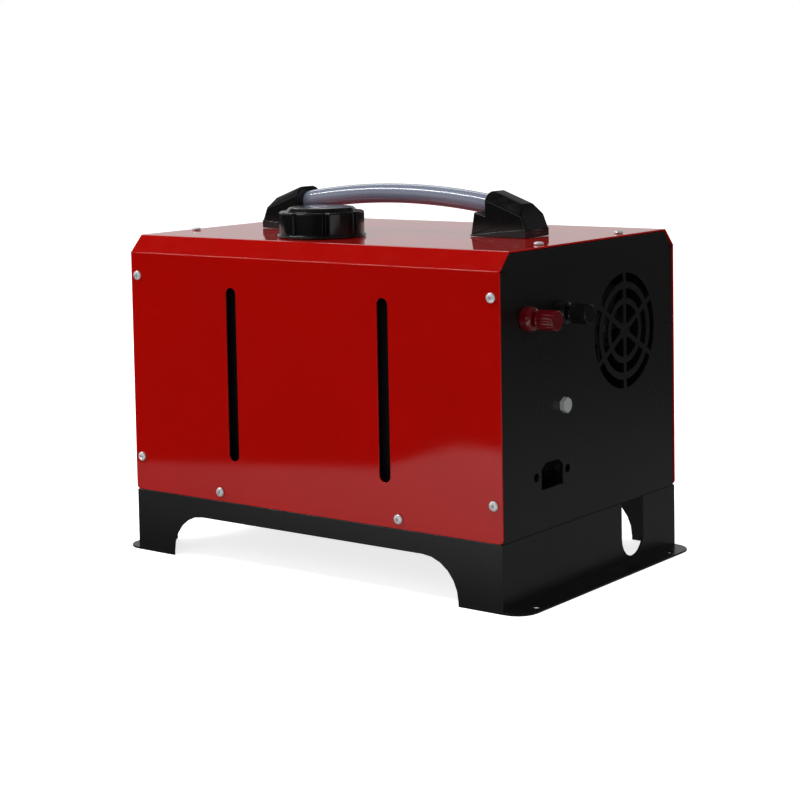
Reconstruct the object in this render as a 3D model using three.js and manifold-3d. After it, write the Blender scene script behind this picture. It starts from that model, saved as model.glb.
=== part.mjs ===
// A portable diesel air heater: a folded steel case on a stand, with the fuel tank in the front half
// and the heating unit in the back half. Millimetres. X runs along the front, Y runs from the front to
// the back, Z runs up. The origin is on the floor, under the middle of the case.
import * as THREE from 'three';
import { mergeVertices } from 'three/addons/utils/BufferGeometryUtils.js';
import Module from 'manifold-3d';

const wasm = await Module();
wasm.setup();

// ---------------------------------------------------------------- driving sizes

const fit = 0.3; // gap left between two pieces that touch
const overshoot = 2; // how far a cutting shape runs past what it cuts

// case
const caseLength = 342;
const caseDepth = 236;
const caseHeight = 197; // from the cover's lower edge to its flat top
const slopeDrop = 12.8; // sloped long edge: its height down the front
const slopeRun = 12; // and its width along the top
const coverSheet = 1.2;
const coverCorner = 3; // rounding of the cover's lower corners
const panelSheet = 1.2;
const panelRecess = 0.5; // end panel behind the cover's edge
const lipWidth = 14; // folded lips inside the case
const panSheet = 1.2;
const panLip = 16;
const panWindowCorner = 6;
const panWindowMargin = 2; // round the pipe stubs

// slots and screws of the cover
const slotWidth = 10;
const slotShift = 1.4; // of both slots, towards the right end
const slotFromEnd = 100.4;
const slotFoot = 31.5; // above the cover's lower edge
const slotHeadroom = 35.4; // from its upper end to the flat top
const screwHoleRadius = 2.2;
const screwShankRadius = 1.9;
const screwShankLength = 8;
const screwHeadRadius = 3.3;
const screwHeadHeight = 2;
const screwHeadRim = 0.7; // upright part of the head
const screwHeadFlat = 2.4; // radius where the dome flattens
const screwHeadFlatDrop = 0.25;
const cornerScrewInset = 6.8; // corner screws, from the cover's end
const lowCornerScrewRise = 25.8; // above the cover's lower edge
const highCornerScrewDrop = 30.4; // below the flat top
const lowScrewFromEnd = 87.4;
const lowScrewRise = 6.9;
const topScrewInset = 10;
const topScrewSpread = 54; // each side of the middle

// stand
const standHeight = 48;
const standSheet = 1.5;
const standRim = 22; // rim left round the window in the stand's deck
const legWidth = 37.6;
const archHeight = 32.9;
const archCorner = 30;
const sideLegWidth = 42; // each side of the arch in the left wall
const notchWidth = 31; // pipe notch in the right wall
const notchFoot = 5.4;
const notchFromBack = 63.5;
const flangeWidth = 17;
const flangeCorner = 16;
const flangeHoleRadius = 3;
const flangeHoleOut = 9.6; // from the stand's side
const flangeHoleSpread = 92; // each side of the middle

// handle
const gripRadius = 7.45;
const gripBore = 4.5;
const gripRise = 29.5; // middle of the grip above the case
const gripSag = 7.3; // drop of the grip from its middle to its mouths
const gripEndDepth = 12; // how far the grip goes into a bracket
const bracketWidth = 31;
const bracketMouth = 89; // from the middle of the case
const bracketLip = 12.5; // lip under the grip, beyond the mouth
const bracketLipHeight = 18.2;
const bracketLipFall = 2.4; // the lip is lower at the mouth
const bracketLipSlant = 3;
const bracketBrow = 2; // bevel over the mouth: its length
const bracketBrowDrop = 1.5; // and its height
const bracketHeight = 33.6;
const bracketLength = 36; // mouth to outer end
const bracketNoseLow = 6.4;
const bracketNoseMid = 16.2;
const bracketNoseTop = 24;
const bracketNoseMidIn = 4;
const bracketNoseTopIn = 8;
const bracketFlat = 15; // width of the flat ridge
const bracketBevelDrop = 6.7;

// fuel tank and its cap
const tankWall = 3;
const tankCorner = 12;
const tankGap = 3; // air round the tank
const tankHeadroom = 28; // air over the tank's shoulder
const wiringBay = 66; // from the tank's end to the right panel
const fillerX = -27; // from the middle of the case
const fillerFromFront = 57;
const neckRadius = 24;
const neckBore = 20;
const neckRise = 14; // above the case
const neckClearance = 0.9;
const capRadius = 32;
const capHeight = 19;
const capFlangeRadius = 33.2;
const capFlangeHeight = 2.6;
const capDiscRadius = 25.5;
const capDiscHeight = 3;
const capDiscBevel = 2.5;
const capRunning = 0.5; // cap's bore round the neck
const capLobes = 8;
const capGroove = 2.6;
const gasketHeight = 2;
const gasketInset = 1; // its bore is this much smaller than the neck's
const nippleRadius = 3.2;
const nippleLength = 9;
const nippleRise = 12; // above the tank's floor

// fan grille, and the axis of the heating unit behind it
const ductFromBack = 72.3;
const shellHeadroom = 11.4; // from the heating unit's shell to the flat top
const grilleRings = [[6.5, 19.5], [24, 31], [36, 42.5]]; // inner and outer radius of each open ring
const grilleSpoke = 4;
const grilleSpokeCount = 3; // bars right across

// power inlet cut-out of the right panel
const inletWidth = 27.5;
const inletHeight = 18.6;
const inletFromFront = 63.1;
const inletFoot = 28.2; // above the cover's lower edge
const inletChamferRun = 6;
const inletChamferDrop = 4;
const inletHoleSpacing = 40;
const inletHoleRadius = 3.2;
const inletHoleRise = 10; // above the foot of the cut-out

// terminals and earth bolt of the right panel
const redFromFront = 31.5;
const blackFromFront = 73.5;
const terminalDrop = 47.4; // below the flat top
const collarRadius = 8.5;
const collarLength = 9;
const collarShoulder = 3; // rounded end of the collar
const collarCrown = 5.3; // radius of its flat end
const collarNeckRadius = 4;
const collarNeckLength = 10;
const studRadius = 2;
const studInside = 22; // behind the panel
const knobRadius = 7;
const knobLength = 14.4;
const knobGap = 2.2; // open stretch of stud, where the wire is clamped
const knobFlutes = 16;
const knobFluteDepth = 0.5;
const knobBoreDepth = 10;
const boltAcrossFlats = 10;
const boltHeadHeight = 4;
const boltRadius = 3;
const boltLength = 12;
const boltFromFront = 78;
const boltDrop = 113; // below the flat top

// controller of the left panel
const controllerGap = 12.7; // to the flange of the outlet
const controllerHeight = 52;
const controllerDepth = 12;
const controllerFromFront = 11;
const controllerDrop = 21; // below the flat top
const controllerBevel = 3;
const controllerCorner = 3;
const controllerRootDepth = 8;
const controllerRootInset = 10;
const screenMargin = 8.5; // from the screen to the buttons
const screenHeight = 32;
const screenDepth = 1.5;
const buttonRadius = 5.5;
const buttonDepth = 3;
const buttonProud = 1.2;
const buttonInset = 14; // from the controller's side
const buttonSpread = 11;
const buttonClearance = 0.3;
const buttonTravel = 0.8;

// warm air outlet of the left panel
const outletReach = 26; // from the panel to the tip
const outletBore = 35.5;
const outletWall = 2;
const outletFlangeRadius = 40;
const outletFlangeSheet = 2;
const outletProud = 12;
const outletInside = 30;
const ringClearance = 0.4;
const ringWall = 3;
const ringInside = 10;
const ringBevel = 2; // round the tip
const slatCount = 3;
const slatSpacing = 16;
const slatChord = 19;
const slatSheet = 1.6;
const slatSetback = 2; // behind the tip
const slatHalfLength = 21;
const slatPinRadius = 1.2;
const slatPinClearance = 0.15;
const slatPinEntry = 2; // length of a pin inside the ring's wall

// heating unit
const shellWidth = 112;
const shellHeight = 118;
const shellCorner = 28;
const shellWall = 2.5;
const shellInletGap = 9; // from the shell's open end to the right panel
const shellOutletGap = 26; // from the shell's end wall to the left panel
const bulkheadFromInlet = 83;
const bulkheadSheet = 3;
const bulkheadBore = 28;
const exchangerCore = 34;
const exchangerBore = 28;
const exchangerFin = 46;
const exchangerFinSheet = 2.4;
const exchangerFinCount = 18;
const exchangerFlangeSheet = 5;
const exchangerEndWall = 3;
const exchangerNeck = 16; // bare core between flange and fins
const exchangerNoseGap = 26; // from the fins' end to the shell's end wall
const cradleSheet = 3;
const cradleFromFins = 12;
const burnerRadius = 24;
const burnerWall = 1.5;
const burnerEndGap = 25;
const burnerRimSheet = 3;
const stubRadius = 12;
const stubBore = 10;
const stubSpacing = 32;
const stubEnd = 36; // above the floor
const stubMargin = 4; // from a stub to the nearest fin under the core
const impellerRadius = 26;
const impellerDisc = 2;
const impellerVane = 7;
const impellerVanes = 12;
const impellerVaneSheet = 1.6;
const impellerHubRadius = 7.2;
const impellerGap = 4; // to the exchanger's flange
const impellerChamber = 17; // from the exchanger's flange to the bulkhead
const motorRadius = 24;
const motorLength = 38;
const motorPlateRadius = 44;
const motorPlateSheet = 3;
const shaftRadius = 3;
const shaftSpare = 3; // shaft past the fan and the impeller
const shaftClearance = 0.4;
const fanRadius = 42;
const fanHubRadius = 13;
const fanWidth = 22;
const fanBlades = 9;
const fanBladeSheet = 2;
const fanBladeAngle = 38;
const fanBladeShare = 0.84; // of the chord that would fill the width
const fanFromMotor = 8;
const glowPlugRadius = 4;
const glowPlugHexRadius = 6.5;
const glowPlugHexHeight = 6;
const controlLength = 40;
const controlWidth = 52;
const controlHeight = 11;
const controlRib = 1.5;
const controlGap = 2; // to the motor's plate
const saddleLength = 76; // bracket that carries the heating unit
const saddleWidth = 100;
const saddleSheet = 1.5;
const saddleFoot = 12;

// fuel pump and lines
const pumpRadius = 14;
const pumpLength = 62;
const pumpTaper = 4; // length of each tapered end
const pumpTaperDrop = 3;
const pumpNippleRadius = 3;
const pumpNippleLength = 8;
const pumpFromInlet = 64; // middle of the pump from the right panel
const pumpFromDuct = 24; // in front of the duct's axis
const pumpRise = 24; // axis above the pan
const clampWall = 4;
const clampLength = 20;
const clampFootWidth = 44;
const clampFootHeight = 5;
const lineRadius = 3.2;
const lineClearance = 0.8;
const feedFromAxis = 10; // riser of the feed line, in front of the duct's axis
const lineStraight = 4; // straight end on a nipple of the pump
const supplyLead = 9; // straight end on the tank's nipple
const supplySwing = 26; // where the supply line has turned away from the tank
const supplySide = 10; // how far it has gone back there
const supplyBulge = 12; // how far its bend runs past the pump's nipple
const feedBulge = 6; // how far the feed line bends past its middle
const feedShares = [0.2, 0.55, 0.85]; // heights of its bends, from the pump's axis to the shell

// ---------------------------------------------------------------- places worked out from the sizes

const halfLength = caseLength / 2;
const halfDepth = caseDepth / 2;
const caseFoot = standHeight;
const caseTop = caseFoot + caseHeight;
const panelFace = halfLength - panelRecess; // outer face of an end panel
const panelBack = panelFace - panelSheet;
const deckTop = standHeight - fit;
const panTop = caseFoot + panSheet;
const lipOuter = coverSheet + fit; // how deep a lip lies under the cover
const lipFoot = panTop + fit;
const ductY = halfDepth - ductFromBack;
const ductZ = caseTop - shellHeadroom - shellHeight / 2;
const notchY = halfDepth - notchFromBack;
const fillerY = fillerFromFront - halfDepth;
const inletY = inletFromFront - halfDepth;
const inletZ = caseFoot + inletFoot;
const terminalZ = caseTop - terminalDrop;
const boltY = boltFromFront - halfDepth;
const boltZ = caseTop - boltDrop;
const capFoot = caseTop + fit;
const neckTop = caseTop + neckRise;
const shellLeft = -(panelBack - shellOutletGap);
const shellRight = panelFace - shellInletGap;
const shellFoot = ductZ - shellHeight / 2;
const bulkheadRight = shellRight - bulkheadFromInlet;
const bulkheadLeft = bulkheadRight - bulkheadSheet;
const exchangerRight = bulkheadLeft - impellerChamber;
const flangeLeft = exchangerRight - exchangerFlangeSheet;
const finRight = flangeLeft - exchangerNeck;
const finLeft = shellLeft + exchangerNoseGap;
const plugX = flangeLeft - exchangerNeck / 2;
const stubPlaces = [finRight - stubRadius + stubMargin, finRight - stubRadius + stubMargin - stubSpacing];
const stubMiddle = (stubPlaces[0] + stubPlaces[1]) / 2;
const feedX = (flangeLeft + exchangerRight) / 2;
const feedY = ductY - feedFromAxis;
const sides = [-1, 1];

// The stretch from near to far on one side of the middle, lower end first.
function span(side, near, far) {
  return side > 0 ? [near, far] : [-far, -near];
}

// ---------------------------------------------------------------- shapes

function outline(points) {
  return new THREE.Shape(points.map(([u, v]) => new THREE.Vector2(u, v)));
}

function arc(u, v, radius, from, to, steps) {
  const points = [];
  for (let i = 0; i <= steps; i += 1) {
    const angle = from + ((to - from) * i) / steps;
    points.push([u + radius * Math.cos(angle), v + radius * Math.sin(angle)]);
  }
  return points;
}

function ringPoints(u, v, radius, steps) {
  return arc(u, v, radius, 0, 2 * Math.PI * (1 - 1 / steps), steps - 1);
}

function roundedRectangle(u0, u1, v0, v1, radius, steps) {
  const quarter = Math.PI / 2;
  return [
    ...arc(u1 - radius, v1 - radius, radius, 0, quarter, steps),
    ...arc(u0 + radius, v1 - radius, radius, quarter, 2 * quarter, steps),
    ...arc(u0 + radius, v0 + radius, radius, 2 * quarter, 3 * quarter, steps),
    ...arc(u1 - radius, v0 + radius, radius, 3 * quarter, 4 * quarter, steps),
  ];
}

// An outline drawn in Y and Z, drawn out along X.
function alongX(points, x0, x1) {
  const geometry = new THREE.ExtrudeGeometry(outline(points), { depth: x1 - x0, bevelEnabled: false });
  const turn = new THREE.Matrix4().makeBasis(
    new THREE.Vector3(0, 1, 0),
    new THREE.Vector3(0, 0, 1),
    new THREE.Vector3(1, 0, 0),
  );
  return geometry.applyMatrix4(turn).translate(x0, 0, 0);
}

// An outline drawn in X and Z, drawn out along Y.
function alongY(points, y0, y1) {
  const geometry = new THREE.ExtrudeGeometry(outline(points), { depth: y1 - y0, bevelEnabled: false });
  return geometry.rotateX(Math.PI / 2).translate(0, y1, 0);
}

// An outline drawn in X and Y, drawn out along Z.
function alongZ(points, z0, z1) {
  const geometry = new THREE.ExtrudeGeometry(outline(points), { depth: z1 - z0, bevelEnabled: false });
  return geometry.translate(0, 0, z0);
}

function block(x0, x1, y0, y1, z0, z1) {
  const geometry = new THREE.BoxGeometry(x1 - x0, y1 - y0, z1 - z0);
  return geometry.translate((x0 + x1) / 2, (y0 + y1) / 2, (z0 + z1) / 2);
}

function rodX(radius, x0, x1, y, z, steps = 16) {
  return alongX(ringPoints(y, z, radius, steps), x0, x1);
}

function rodY(radius, y0, y1, x, z, steps = 16) {
  return alongY(ringPoints(x, z, radius, steps), y0, y1);
}

function rodZ(radius, z0, z1, x, y, steps = 16) {
  return alongZ(ringPoints(x, y, radius, steps), z0, z1);
}

// A turned piece: its profile gives radius and place along the axis, and is walked up its outer side.
function turned(profile, steps) {
  const points = profile.map(([r, h]) => new THREE.Vector2(r, h));
  const upwards = THREE.ShapeUtils.area(points) > 0;
  return new THREE.LatheGeometry(upwards ? points : points.reverse(), steps);
}

function turnedX(profile, y, z, steps) {
  return turned(profile, steps).rotateZ(-Math.PI / 2).translate(0, y, z);
}

function turnedZ(profile, x, y, steps) {
  return turned(profile, steps).rotateX(Math.PI / 2).translate(x, y, 0);
}

function tubeAlong(points, radius, sectionSteps, pathSteps) {
  const path = new THREE.CatmullRomCurve3(points.map(([x, y, z]) => new THREE.Vector3(x, y, z)));
  const section = outline(ringPoints(0, 0, radius, sectionSteps));
  return new THREE.ExtrudeGeometry(section, { steps: pathSteps, extrudePath: path, bevelEnabled: false });
}

// ---------------------------------------------------------------- solids

function solid(shape) {
  if (!shape.isBufferGeometry) {
    return shape;
  }
  const bare = shape.clone();
  bare.deleteAttribute('normal');
  bare.deleteAttribute('uv');
  const merged = mergeVertices(bare);
  const vertProperties = new Float32Array(merged.attributes.position.array);
  const triVerts = new Uint32Array(merged.index.array);
  return new wasm.Manifold(new wasm.Mesh({ numProp: 3, vertProperties, triVerts }));
}

function join(first, ...others) {
  return others.reduce((whole, other) => whole.add(solid(other)), solid(first));
}

function cut(first, ...others) {
  return others.reduce((whole, other) => whole.subtract(solid(other)), solid(first));
}

function common(first, other) {
  return solid(first).intersect(solid(other));
}

function surface(shape) {
  if (shape.isBufferGeometry) {
    return shape;
  }
  const mesh = shape.getMesh();
  const geometry = new THREE.BufferGeometry();
  geometry.setAttribute('position', new THREE.BufferAttribute(new Float32Array(mesh.vertProperties), 3));
  geometry.setIndex(new THREE.BufferAttribute(new Uint32Array(mesh.triVerts), 1));
  geometry.computeVertexNormals();
  return geometry;
}

// ---------------------------------------------------------------- finishes

function finish(color, roughness, metalness) {
  return { color, roughness, metalness };
}

const redPaint = finish(0x9c0b07, 0.28, 0);
const blackPaint = finish(0x1b1c1c, 0.55, 0);
const chrome = finish(0xd0d2d4, 0.2, 1);
const zinc = finish(0xb9bcbc, 0.32, 1);
const brass = finish(0xb89a55, 0.3, 1);
const steel = finish(0x9a9c9e, 0.4, 1);
const castAluminium = finish(0xa4a6a7, 0.5, 1);
const glossBlack = finish(0x0c0c0d, 0.22, 0);
const mattBlack = finish(0x191a1b, 0.6, 0);
const redPlastic = finish(0x6e0a0f, 0.25, 0);
const hosePlastic = finish(0x7d8698, 0.3, 0);
const tankPlastic = finish(0x18191a, 0.45, 0);
const rubber = finish(0x141414, 0.8, 0);
const screenGlass = finish(0x12202c, 0.1, 0);
const buttonPlastic = finish(0x2a2c2e, 0.5, 0);

const heater = new THREE.Group();

function piece(name, shape, look, group = heater) {
  const mesh = new THREE.Mesh(surface(shape), new THREE.MeshStandardMaterial(look));
  mesh.name = name;
  group.add(mesh);
  return mesh;
}

// ---------------------------------------------------------------- case

// Corners of the case's section, as deep under its outer skin as asked, from the front foot over the top.
function caseSection(depth, foot) {
  const slope = Math.hypot(slopeDrop, slopeRun);
  const shoulder = depth * ((1 - slopeDrop / slope) / (slopeRun / slope));
  const brow = depth * ((1 - slopeRun / slope) / (slopeDrop / slope));
  const side = halfDepth - depth;
  const shoulderZ = caseTop - slopeDrop - shoulder;
  const browY = halfDepth - slopeRun - brow;
  const top = caseTop - depth;
  return [
    [-side, foot],
    [-side, shoulderZ],
    [-browY, top],
    [browY, top],
    [side, shoulderZ],
    [side, foot],
  ];
}

function foldedSheet(depth, sheet, foot) {
  return [...caseSection(depth, foot), ...caseSection(depth + sheet, foot).reverse()];
}

const frontScrews = [];
for (const side of sides) {
  frontScrews.push([side * (halfLength - cornerScrewInset), caseTop - highCornerScrewDrop]);
  frontScrews.push([side * (halfLength - cornerScrewInset), caseFoot + lowCornerScrewRise]);
  frontScrews.push([side * (halfLength - lowScrewFromEnd), caseFoot + lowScrewRise]);
}
const topScrews = sides.flatMap((side) =>
  sides.map((way) => [side * (halfLength - topScrewInset), way * topScrewSpread]),
);

function faceScrewHoles() {
  return frontScrews.map(([x, z]) =>
    rodY(screwHoleRadius, -halfDepth - overshoot, halfDepth + overshoot, x, z, 10),
  );
}

function topScrewHoles() {
  return topScrews.map(([x, y]) =>
    rodZ(screwHoleRadius, caseTop - lipWidth, caseTop + overshoot, x, y, 10),
  );
}

function slotHole(side) {
  const middle = side * (halfLength - slotFromEnd) + slotShift;
  const foot = caseFoot + slotFoot;
  const points = roundedRectangle(
    middle - slotWidth / 2,
    middle + slotWidth / 2,
    foot,
    caseTop - slotHeadroom,
    slotWidth / 2,
    4,
  );
  return alongY(points, -halfDepth - overshoot, halfDepth + overshoot);
}

function makeCover() {
  const sheet = alongX(foldedSheet(0, coverSheet, caseFoot), -halfLength, halfLength);
  const silhouette = roundedRectangle(
    -halfLength,
    halfLength,
    caseFoot,
    caseTop + coverCorner + overshoot,
    coverCorner,
    3,
  );
  const rounded = common(sheet, alongY(silhouette, -halfDepth - overshoot, halfDepth + overshoot));
  const filler = rodZ(
    neckRadius + neckClearance,
    caseTop - lipWidth,
    caseTop + overshoot,
    fillerX,
    fillerY,
    24,
  );
  return cut(rounded, ...faceScrewHoles(), ...topScrewHoles(), slotHole(-1), slotHole(1), filler);
}

piece('cover', makeCover(), redPaint);

function panelBlank(side) {
  const skin = caseSection(lipOuter, caseFoot);
  const lipEnds = span(side, panelFace - lipWidth, panelFace - panelSheet / 2);
  const floorHalf = halfDepth - lipOuter - panelSheet / 2;
  return join(
    alongX(skin, ...span(side, panelBack, panelFace)),
    alongX(foldedSheet(lipOuter, panelSheet, lipFoot), ...lipEnds),
    block(...lipEnds, -floorHalf, floorHalf, lipFoot, lipFoot + panelSheet),
  );
}

// A cutting shape through an end panel, drawn in Y and Z.
function panelHole(side, points) {
  return alongX(points, ...span(side, panelBack - overshoot, panelFace + overshoot));
}

function grilleHoles() {
  let open = null;
  for (const [inner, outer] of grilleRings) {
    const ring = cut(
      panelHole(1, ringPoints(ductY, ductZ, outer, 36)),
      panelHole(1, ringPoints(ductY, ductZ, inner, 24)),
    );
    open = open ? join(open, ring) : ring;
  }
  const reach = grilleRings.at(-1)[1] + overshoot;
  for (let i = 0; i < grilleSpokeCount; i += 1) {
    const bar = block(0, halfLength + overshoot, -reach, reach, -grilleSpoke / 2, grilleSpoke / 2);
    bar.rotateX(Math.PI / 2 + (i * Math.PI) / grilleSpokeCount).translate(0, ductY, ductZ);
    open = cut(open, bar);
  }
  return open;
}

function inletHoles() {
  const left = inletY - inletWidth / 2;
  const right = inletY + inletWidth / 2;
  const top = inletZ + inletHeight;
  const opening = [
    [left, inletZ],
    [right, inletZ],
    [right, top - inletChamferDrop],
    [right - inletChamferRun, top],
    [left + inletChamferRun, top],
    [left, top - inletChamferDrop],
  ];
  const screwHoles = sides.map((way) =>
    ringPoints(inletY + (way * inletHoleSpacing) / 2, inletZ + inletHoleRise, inletHoleRadius, 12),
  );
  return [opening, ...screwHoles].map((points) => panelHole(1, points));
}

const terminals = [
  ['red', redFromFront - halfDepth, redPlastic],
  ['black', blackFromFront - halfDepth, glossBlack],
];

function makeRightPanel() {
  const terminalHoles = terminals.map(([, y]) =>
    panelHole(1, ringPoints(y, terminalZ, collarNeckRadius + fit, 12)),
  );
  const boltHole = panelHole(1, ringPoints(boltY, boltZ, boltRadius + fit, 12));
  return cut(
    panelBlank(1),
    grilleHoles(),
    ...inletHoles(),
    ...terminalHoles,
    boltHole,
    ...faceScrewHoles(),
    ...topScrewHoles(),
  );
}

piece('right_panel', makeRightPanel(), blackPaint);

const controllerFrontY = controllerFromFront - halfDepth;
const controllerBackY = ductY - outletFlangeRadius - controllerGap;
const controllerTopZ = caseTop - controllerDrop;
const controllerFootZ = controllerTopZ - controllerHeight;
const controllerY = (controllerFrontY + controllerBackY) / 2;
const controllerZ = (controllerFootZ + controllerTopZ) / 2;

function controllerRoot(extra) {
  const grow = extra - controllerRootInset;
  return roundedRectangle(
    controllerFrontY - grow,
    controllerBackY + grow,
    controllerFootZ - grow,
    controllerTopZ + grow,
    controllerCorner,
    2,
  );
}

function makeLeftPanel() {
  const outlet = panelHole(-1, ringPoints(ductY, ductZ, outletBore + outletWall + fit, 32));
  const controllerHole = panelHole(-1, controllerRoot(fit));
  return cut(panelBlank(-1), outlet, controllerHole, ...faceScrewHoles(), ...topScrewHoles());
}

piece('left_panel', makeLeftPanel(), blackPaint);

// The pan closes the case from below. Its lips take the lower screws of the cover.
function makePan() {
  const half = panelBack - fit;
  const depth = halfDepth - lipOuter;
  const lipHalf = panelFace - lipWidth - fit;
  const floor = block(-half, half, -depth, depth, caseFoot, panTop);
  const lips = sides.map((way) =>
    block(-lipHalf, lipHalf, ...span(way, depth - panSheet, depth), caseFoot, caseFoot + panLip),
  );
  const window = alongZ(
    roundedRectangle(
      stubMiddle - stubSpacing / 2 - stubRadius - panWindowMargin,
      stubMiddle + stubSpacing / 2 + stubRadius + panWindowMargin,
      ductY - stubRadius - panWindowMargin,
      ductY + stubRadius + panWindowMargin,
      panWindowCorner,
      2,
    ),
    caseFoot - overshoot,
    panTop + overshoot,
  );
  return cut(join(floor, ...lips), window, ...faceScrewHoles());
}

piece('floor_pan', makePan(), blackPaint);

// ---------------------------------------------------------------- stand

function archOutline(foot) {
  return [
    [-foot, -overshoot],
    [foot, -overshoot],
    ...arc(foot - archCorner, archHeight - archCorner, archCorner, 0, Math.PI / 2, 6),
    ...arc(archCorner - foot, archHeight - archCorner, archCorner, Math.PI / 2, Math.PI, 6),
  ];
}

function notchOutline() {
  const half = notchWidth / 2;
  return [
    [notchY + half, standHeight + overshoot],
    [notchY - half, standHeight + overshoot],
    ...arc(notchY, notchFoot + half, half, Math.PI, 2 * Math.PI, 10),
  ];
}

function makeStand() {
  const windowX = panelFace - standRim;
  const windowY = halfDepth - standRim;
  const deck = cut(
    block(-panelFace, panelFace, -halfDepth, halfDepth, deckTop - standSheet, deckTop),
    block(-windowX, windowX, -windowY, windowY, 0, standHeight),
  );
  const parts = [];
  for (const way of sides) {
    const skirt = span(way, halfDepth - standSheet, halfDepth);
    parts.push(block(-panelFace, panelFace, ...skirt, 0, deckTop));
    const wall = span(way, panelFace - standSheet, panelFace);
    parts.push(block(...wall, -halfDepth, halfDepth, 0, deckTop));
    const flange = roundedRectangle(
      panelFace - standSheet - 2 * flangeCorner,
      panelFace + flangeWidth,
      -halfDepth,
      halfDepth,
      flangeCorner,
      5,
    );
    const mirrored = alongZ(flange.map(([x, y]) => [way * x, y]), 0, standSheet);
    const keep = span(way, panelFace - standSheet, halfLength + flangeWidth);
    parts.push(common(mirrored, block(...keep, -halfDepth, halfDepth, -overshoot, standHeight)));
  }
  const holes = sides.flatMap((side) =>
    sides.map((way) =>
      rodZ(
        flangeHoleRadius,
        -overshoot,
        standSheet + overshoot,
        side * (panelFace + flangeHoleOut),
        way * flangeHoleSpread,
        12,
      ),
    ),
  );
  const archReach = halfDepth + overshoot;
  const longArch = alongY(archOutline(halfLength - legWidth), -archReach, archReach);
  const leftArch = alongX(
    archOutline(halfDepth - sideLegWidth),
    -(halfLength + flangeWidth + overshoot),
    overshoot - windowX,
  );
  const notch = alongX(notchOutline(), windowX - overshoot, panelFace + overshoot);
  return cut(join(deck, ...parts), longArch, leftArch, notch, ...holes);
}

piece('stand', makeStand(), blackPaint);

// ---------------------------------------------------------------- cover screws

function makeScrew() {
  return turned(
    [
      [0, -screwShankLength],
      [screwShankRadius, -screwShankLength],
      [screwShankRadius, fit],
      [screwHeadRadius, fit],
      [screwHeadRadius, fit + screwHeadRim],
      [screwHeadFlat, fit + screwHeadHeight - screwHeadFlatDrop],
      [0, fit + screwHeadHeight],
    ],
    10,
  );
}

const screwCorners = ['high', 'low', 'inner'];
frontScrews.forEach(([x, z], index) => {
  const label = `${x < 0 ? 'left' : 'right'}_${screwCorners[index % 3]}`;
  const front = piece(`screw_front_${label}`, makeScrew(), chrome);
  front.position.set(x, -halfDepth, z);
  front.rotation.z = Math.PI;
  const back = piece(`screw_back_${label}`, makeScrew(), chrome);
  back.position.set(x, halfDepth, z);
});
topScrews.forEach(([x, y]) => {
  const label = `${x < 0 ? 'left' : 'right'}_${y < 0 ? 'front' : 'rear'}`;
  const screw = piece(`screw_top_${label}`, makeScrew(), chrome);
  screw.position.set(x, y, caseTop);
  screw.rotation.x = Math.PI / 2;
});

// ---------------------------------------------------------------- handle

const gripHalf = bracketMouth + gripEndDepth;
const gripPathSteps = 12;

function gripHeight(x) {
  return caseTop + gripRise - gripSag * (x / bracketMouth) ** 2;
}

function gripPath(half) {
  const points = [];
  for (let i = 0; i <= gripPathSteps; i += 1) {
    const x = -half + (2 * half * i) / gripPathSteps;
    points.push([x, 0, gripHeight(x)]);
  }
  return points;
}

const grip = cut(
  tubeAlong(gripPath(gripHalf), gripRadius, 14, 16),
  tubeAlong(gripPath(gripHalf + overshoot), gripBore, 8, 16),
);
piece('handle_grip', grip, hosePlastic);

// The right bracket; the left one is its mirror image.
function makeBracket() {
  const foot = caseTop + fit;
  const outer = bracketMouth + bracketLength;
  const ridgeStart = bracketMouth + bracketBrow;
  const ridgeEnd = outer - bracketNoseTopIn;
  const half = bracketWidth / 2;
  const body = alongY(
    [
      [bracketMouth - bracketLip, foot],
      [outer, foot],
      [outer, caseTop + bracketNoseLow],
      [outer - bracketNoseMidIn, caseTop + bracketNoseMid],
      [ridgeEnd, caseTop + bracketNoseTop],
      [ridgeStart, caseTop + bracketHeight],
      [bracketMouth, caseTop + bracketHeight - bracketBrowDrop],
      [bracketMouth, caseTop + bracketLipHeight - bracketLipFall],
      [bracketMouth - bracketLip + bracketLipSlant, caseTop + bracketLipHeight],
    ],
    -half,
    half,
  );
  const fall = (bracketHeight - bracketNoseTop) / (ridgeEnd - ridgeStart);
  const flat = bracketFlat / 2;
  const steep = bracketBevelDrop / (half - flat);
  const alongRidge = new THREE.Matrix4().makeBasis(
    new THREE.Vector3(1, 0, -fall),
    new THREE.Vector3(0, 1, 0),
    new THREE.Vector3(0, 0, 1),
  );
  const bevels = sides.map((way) => {
    const wedge = alongX(
      [
        [way * flat, 0],
        [way * (half + overshoot), -steep * (half + overshoot - flat)],
        [way * (half + overshoot), bracketHeight],
        [way * flat, bracketHeight],
      ],
      -bracketLength,
      2 * bracketLength,
    );
    return wedge.applyMatrix4(alongRidge).translate(ridgeStart, 0, caseTop + bracketHeight);
  });
  const channel = tubeAlong(gripPath(gripHalf + fit), gripRadius + fit, 14, 16);
  return cut(body, ...bevels, channel);
}

const rightBracket = makeBracket();
piece('handle_bracket_right', rightBracket, glossBlack);
piece('handle_bracket_left', rightBracket.mirror([1, 0, 0]), glossBlack);

// ---------------------------------------------------------------- fuel tank and cap

const tankLeft = -panelBack + lipWidth / 2 + tankGap;
const tankRight = panelBack - wiringBay;
const tankFront = -halfDepth + screwShankLength + tankGap;
const tankBack = ductY - shellWidth / 2 - tankGap;
const tankFoot = panTop + panelSheet + 2 * fit;
const tankTop = caseTop - tankHeadroom;
const nippleY = (tankFront + tankBack) / 2;
const nippleZ = tankFoot + nippleRise;

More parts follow.
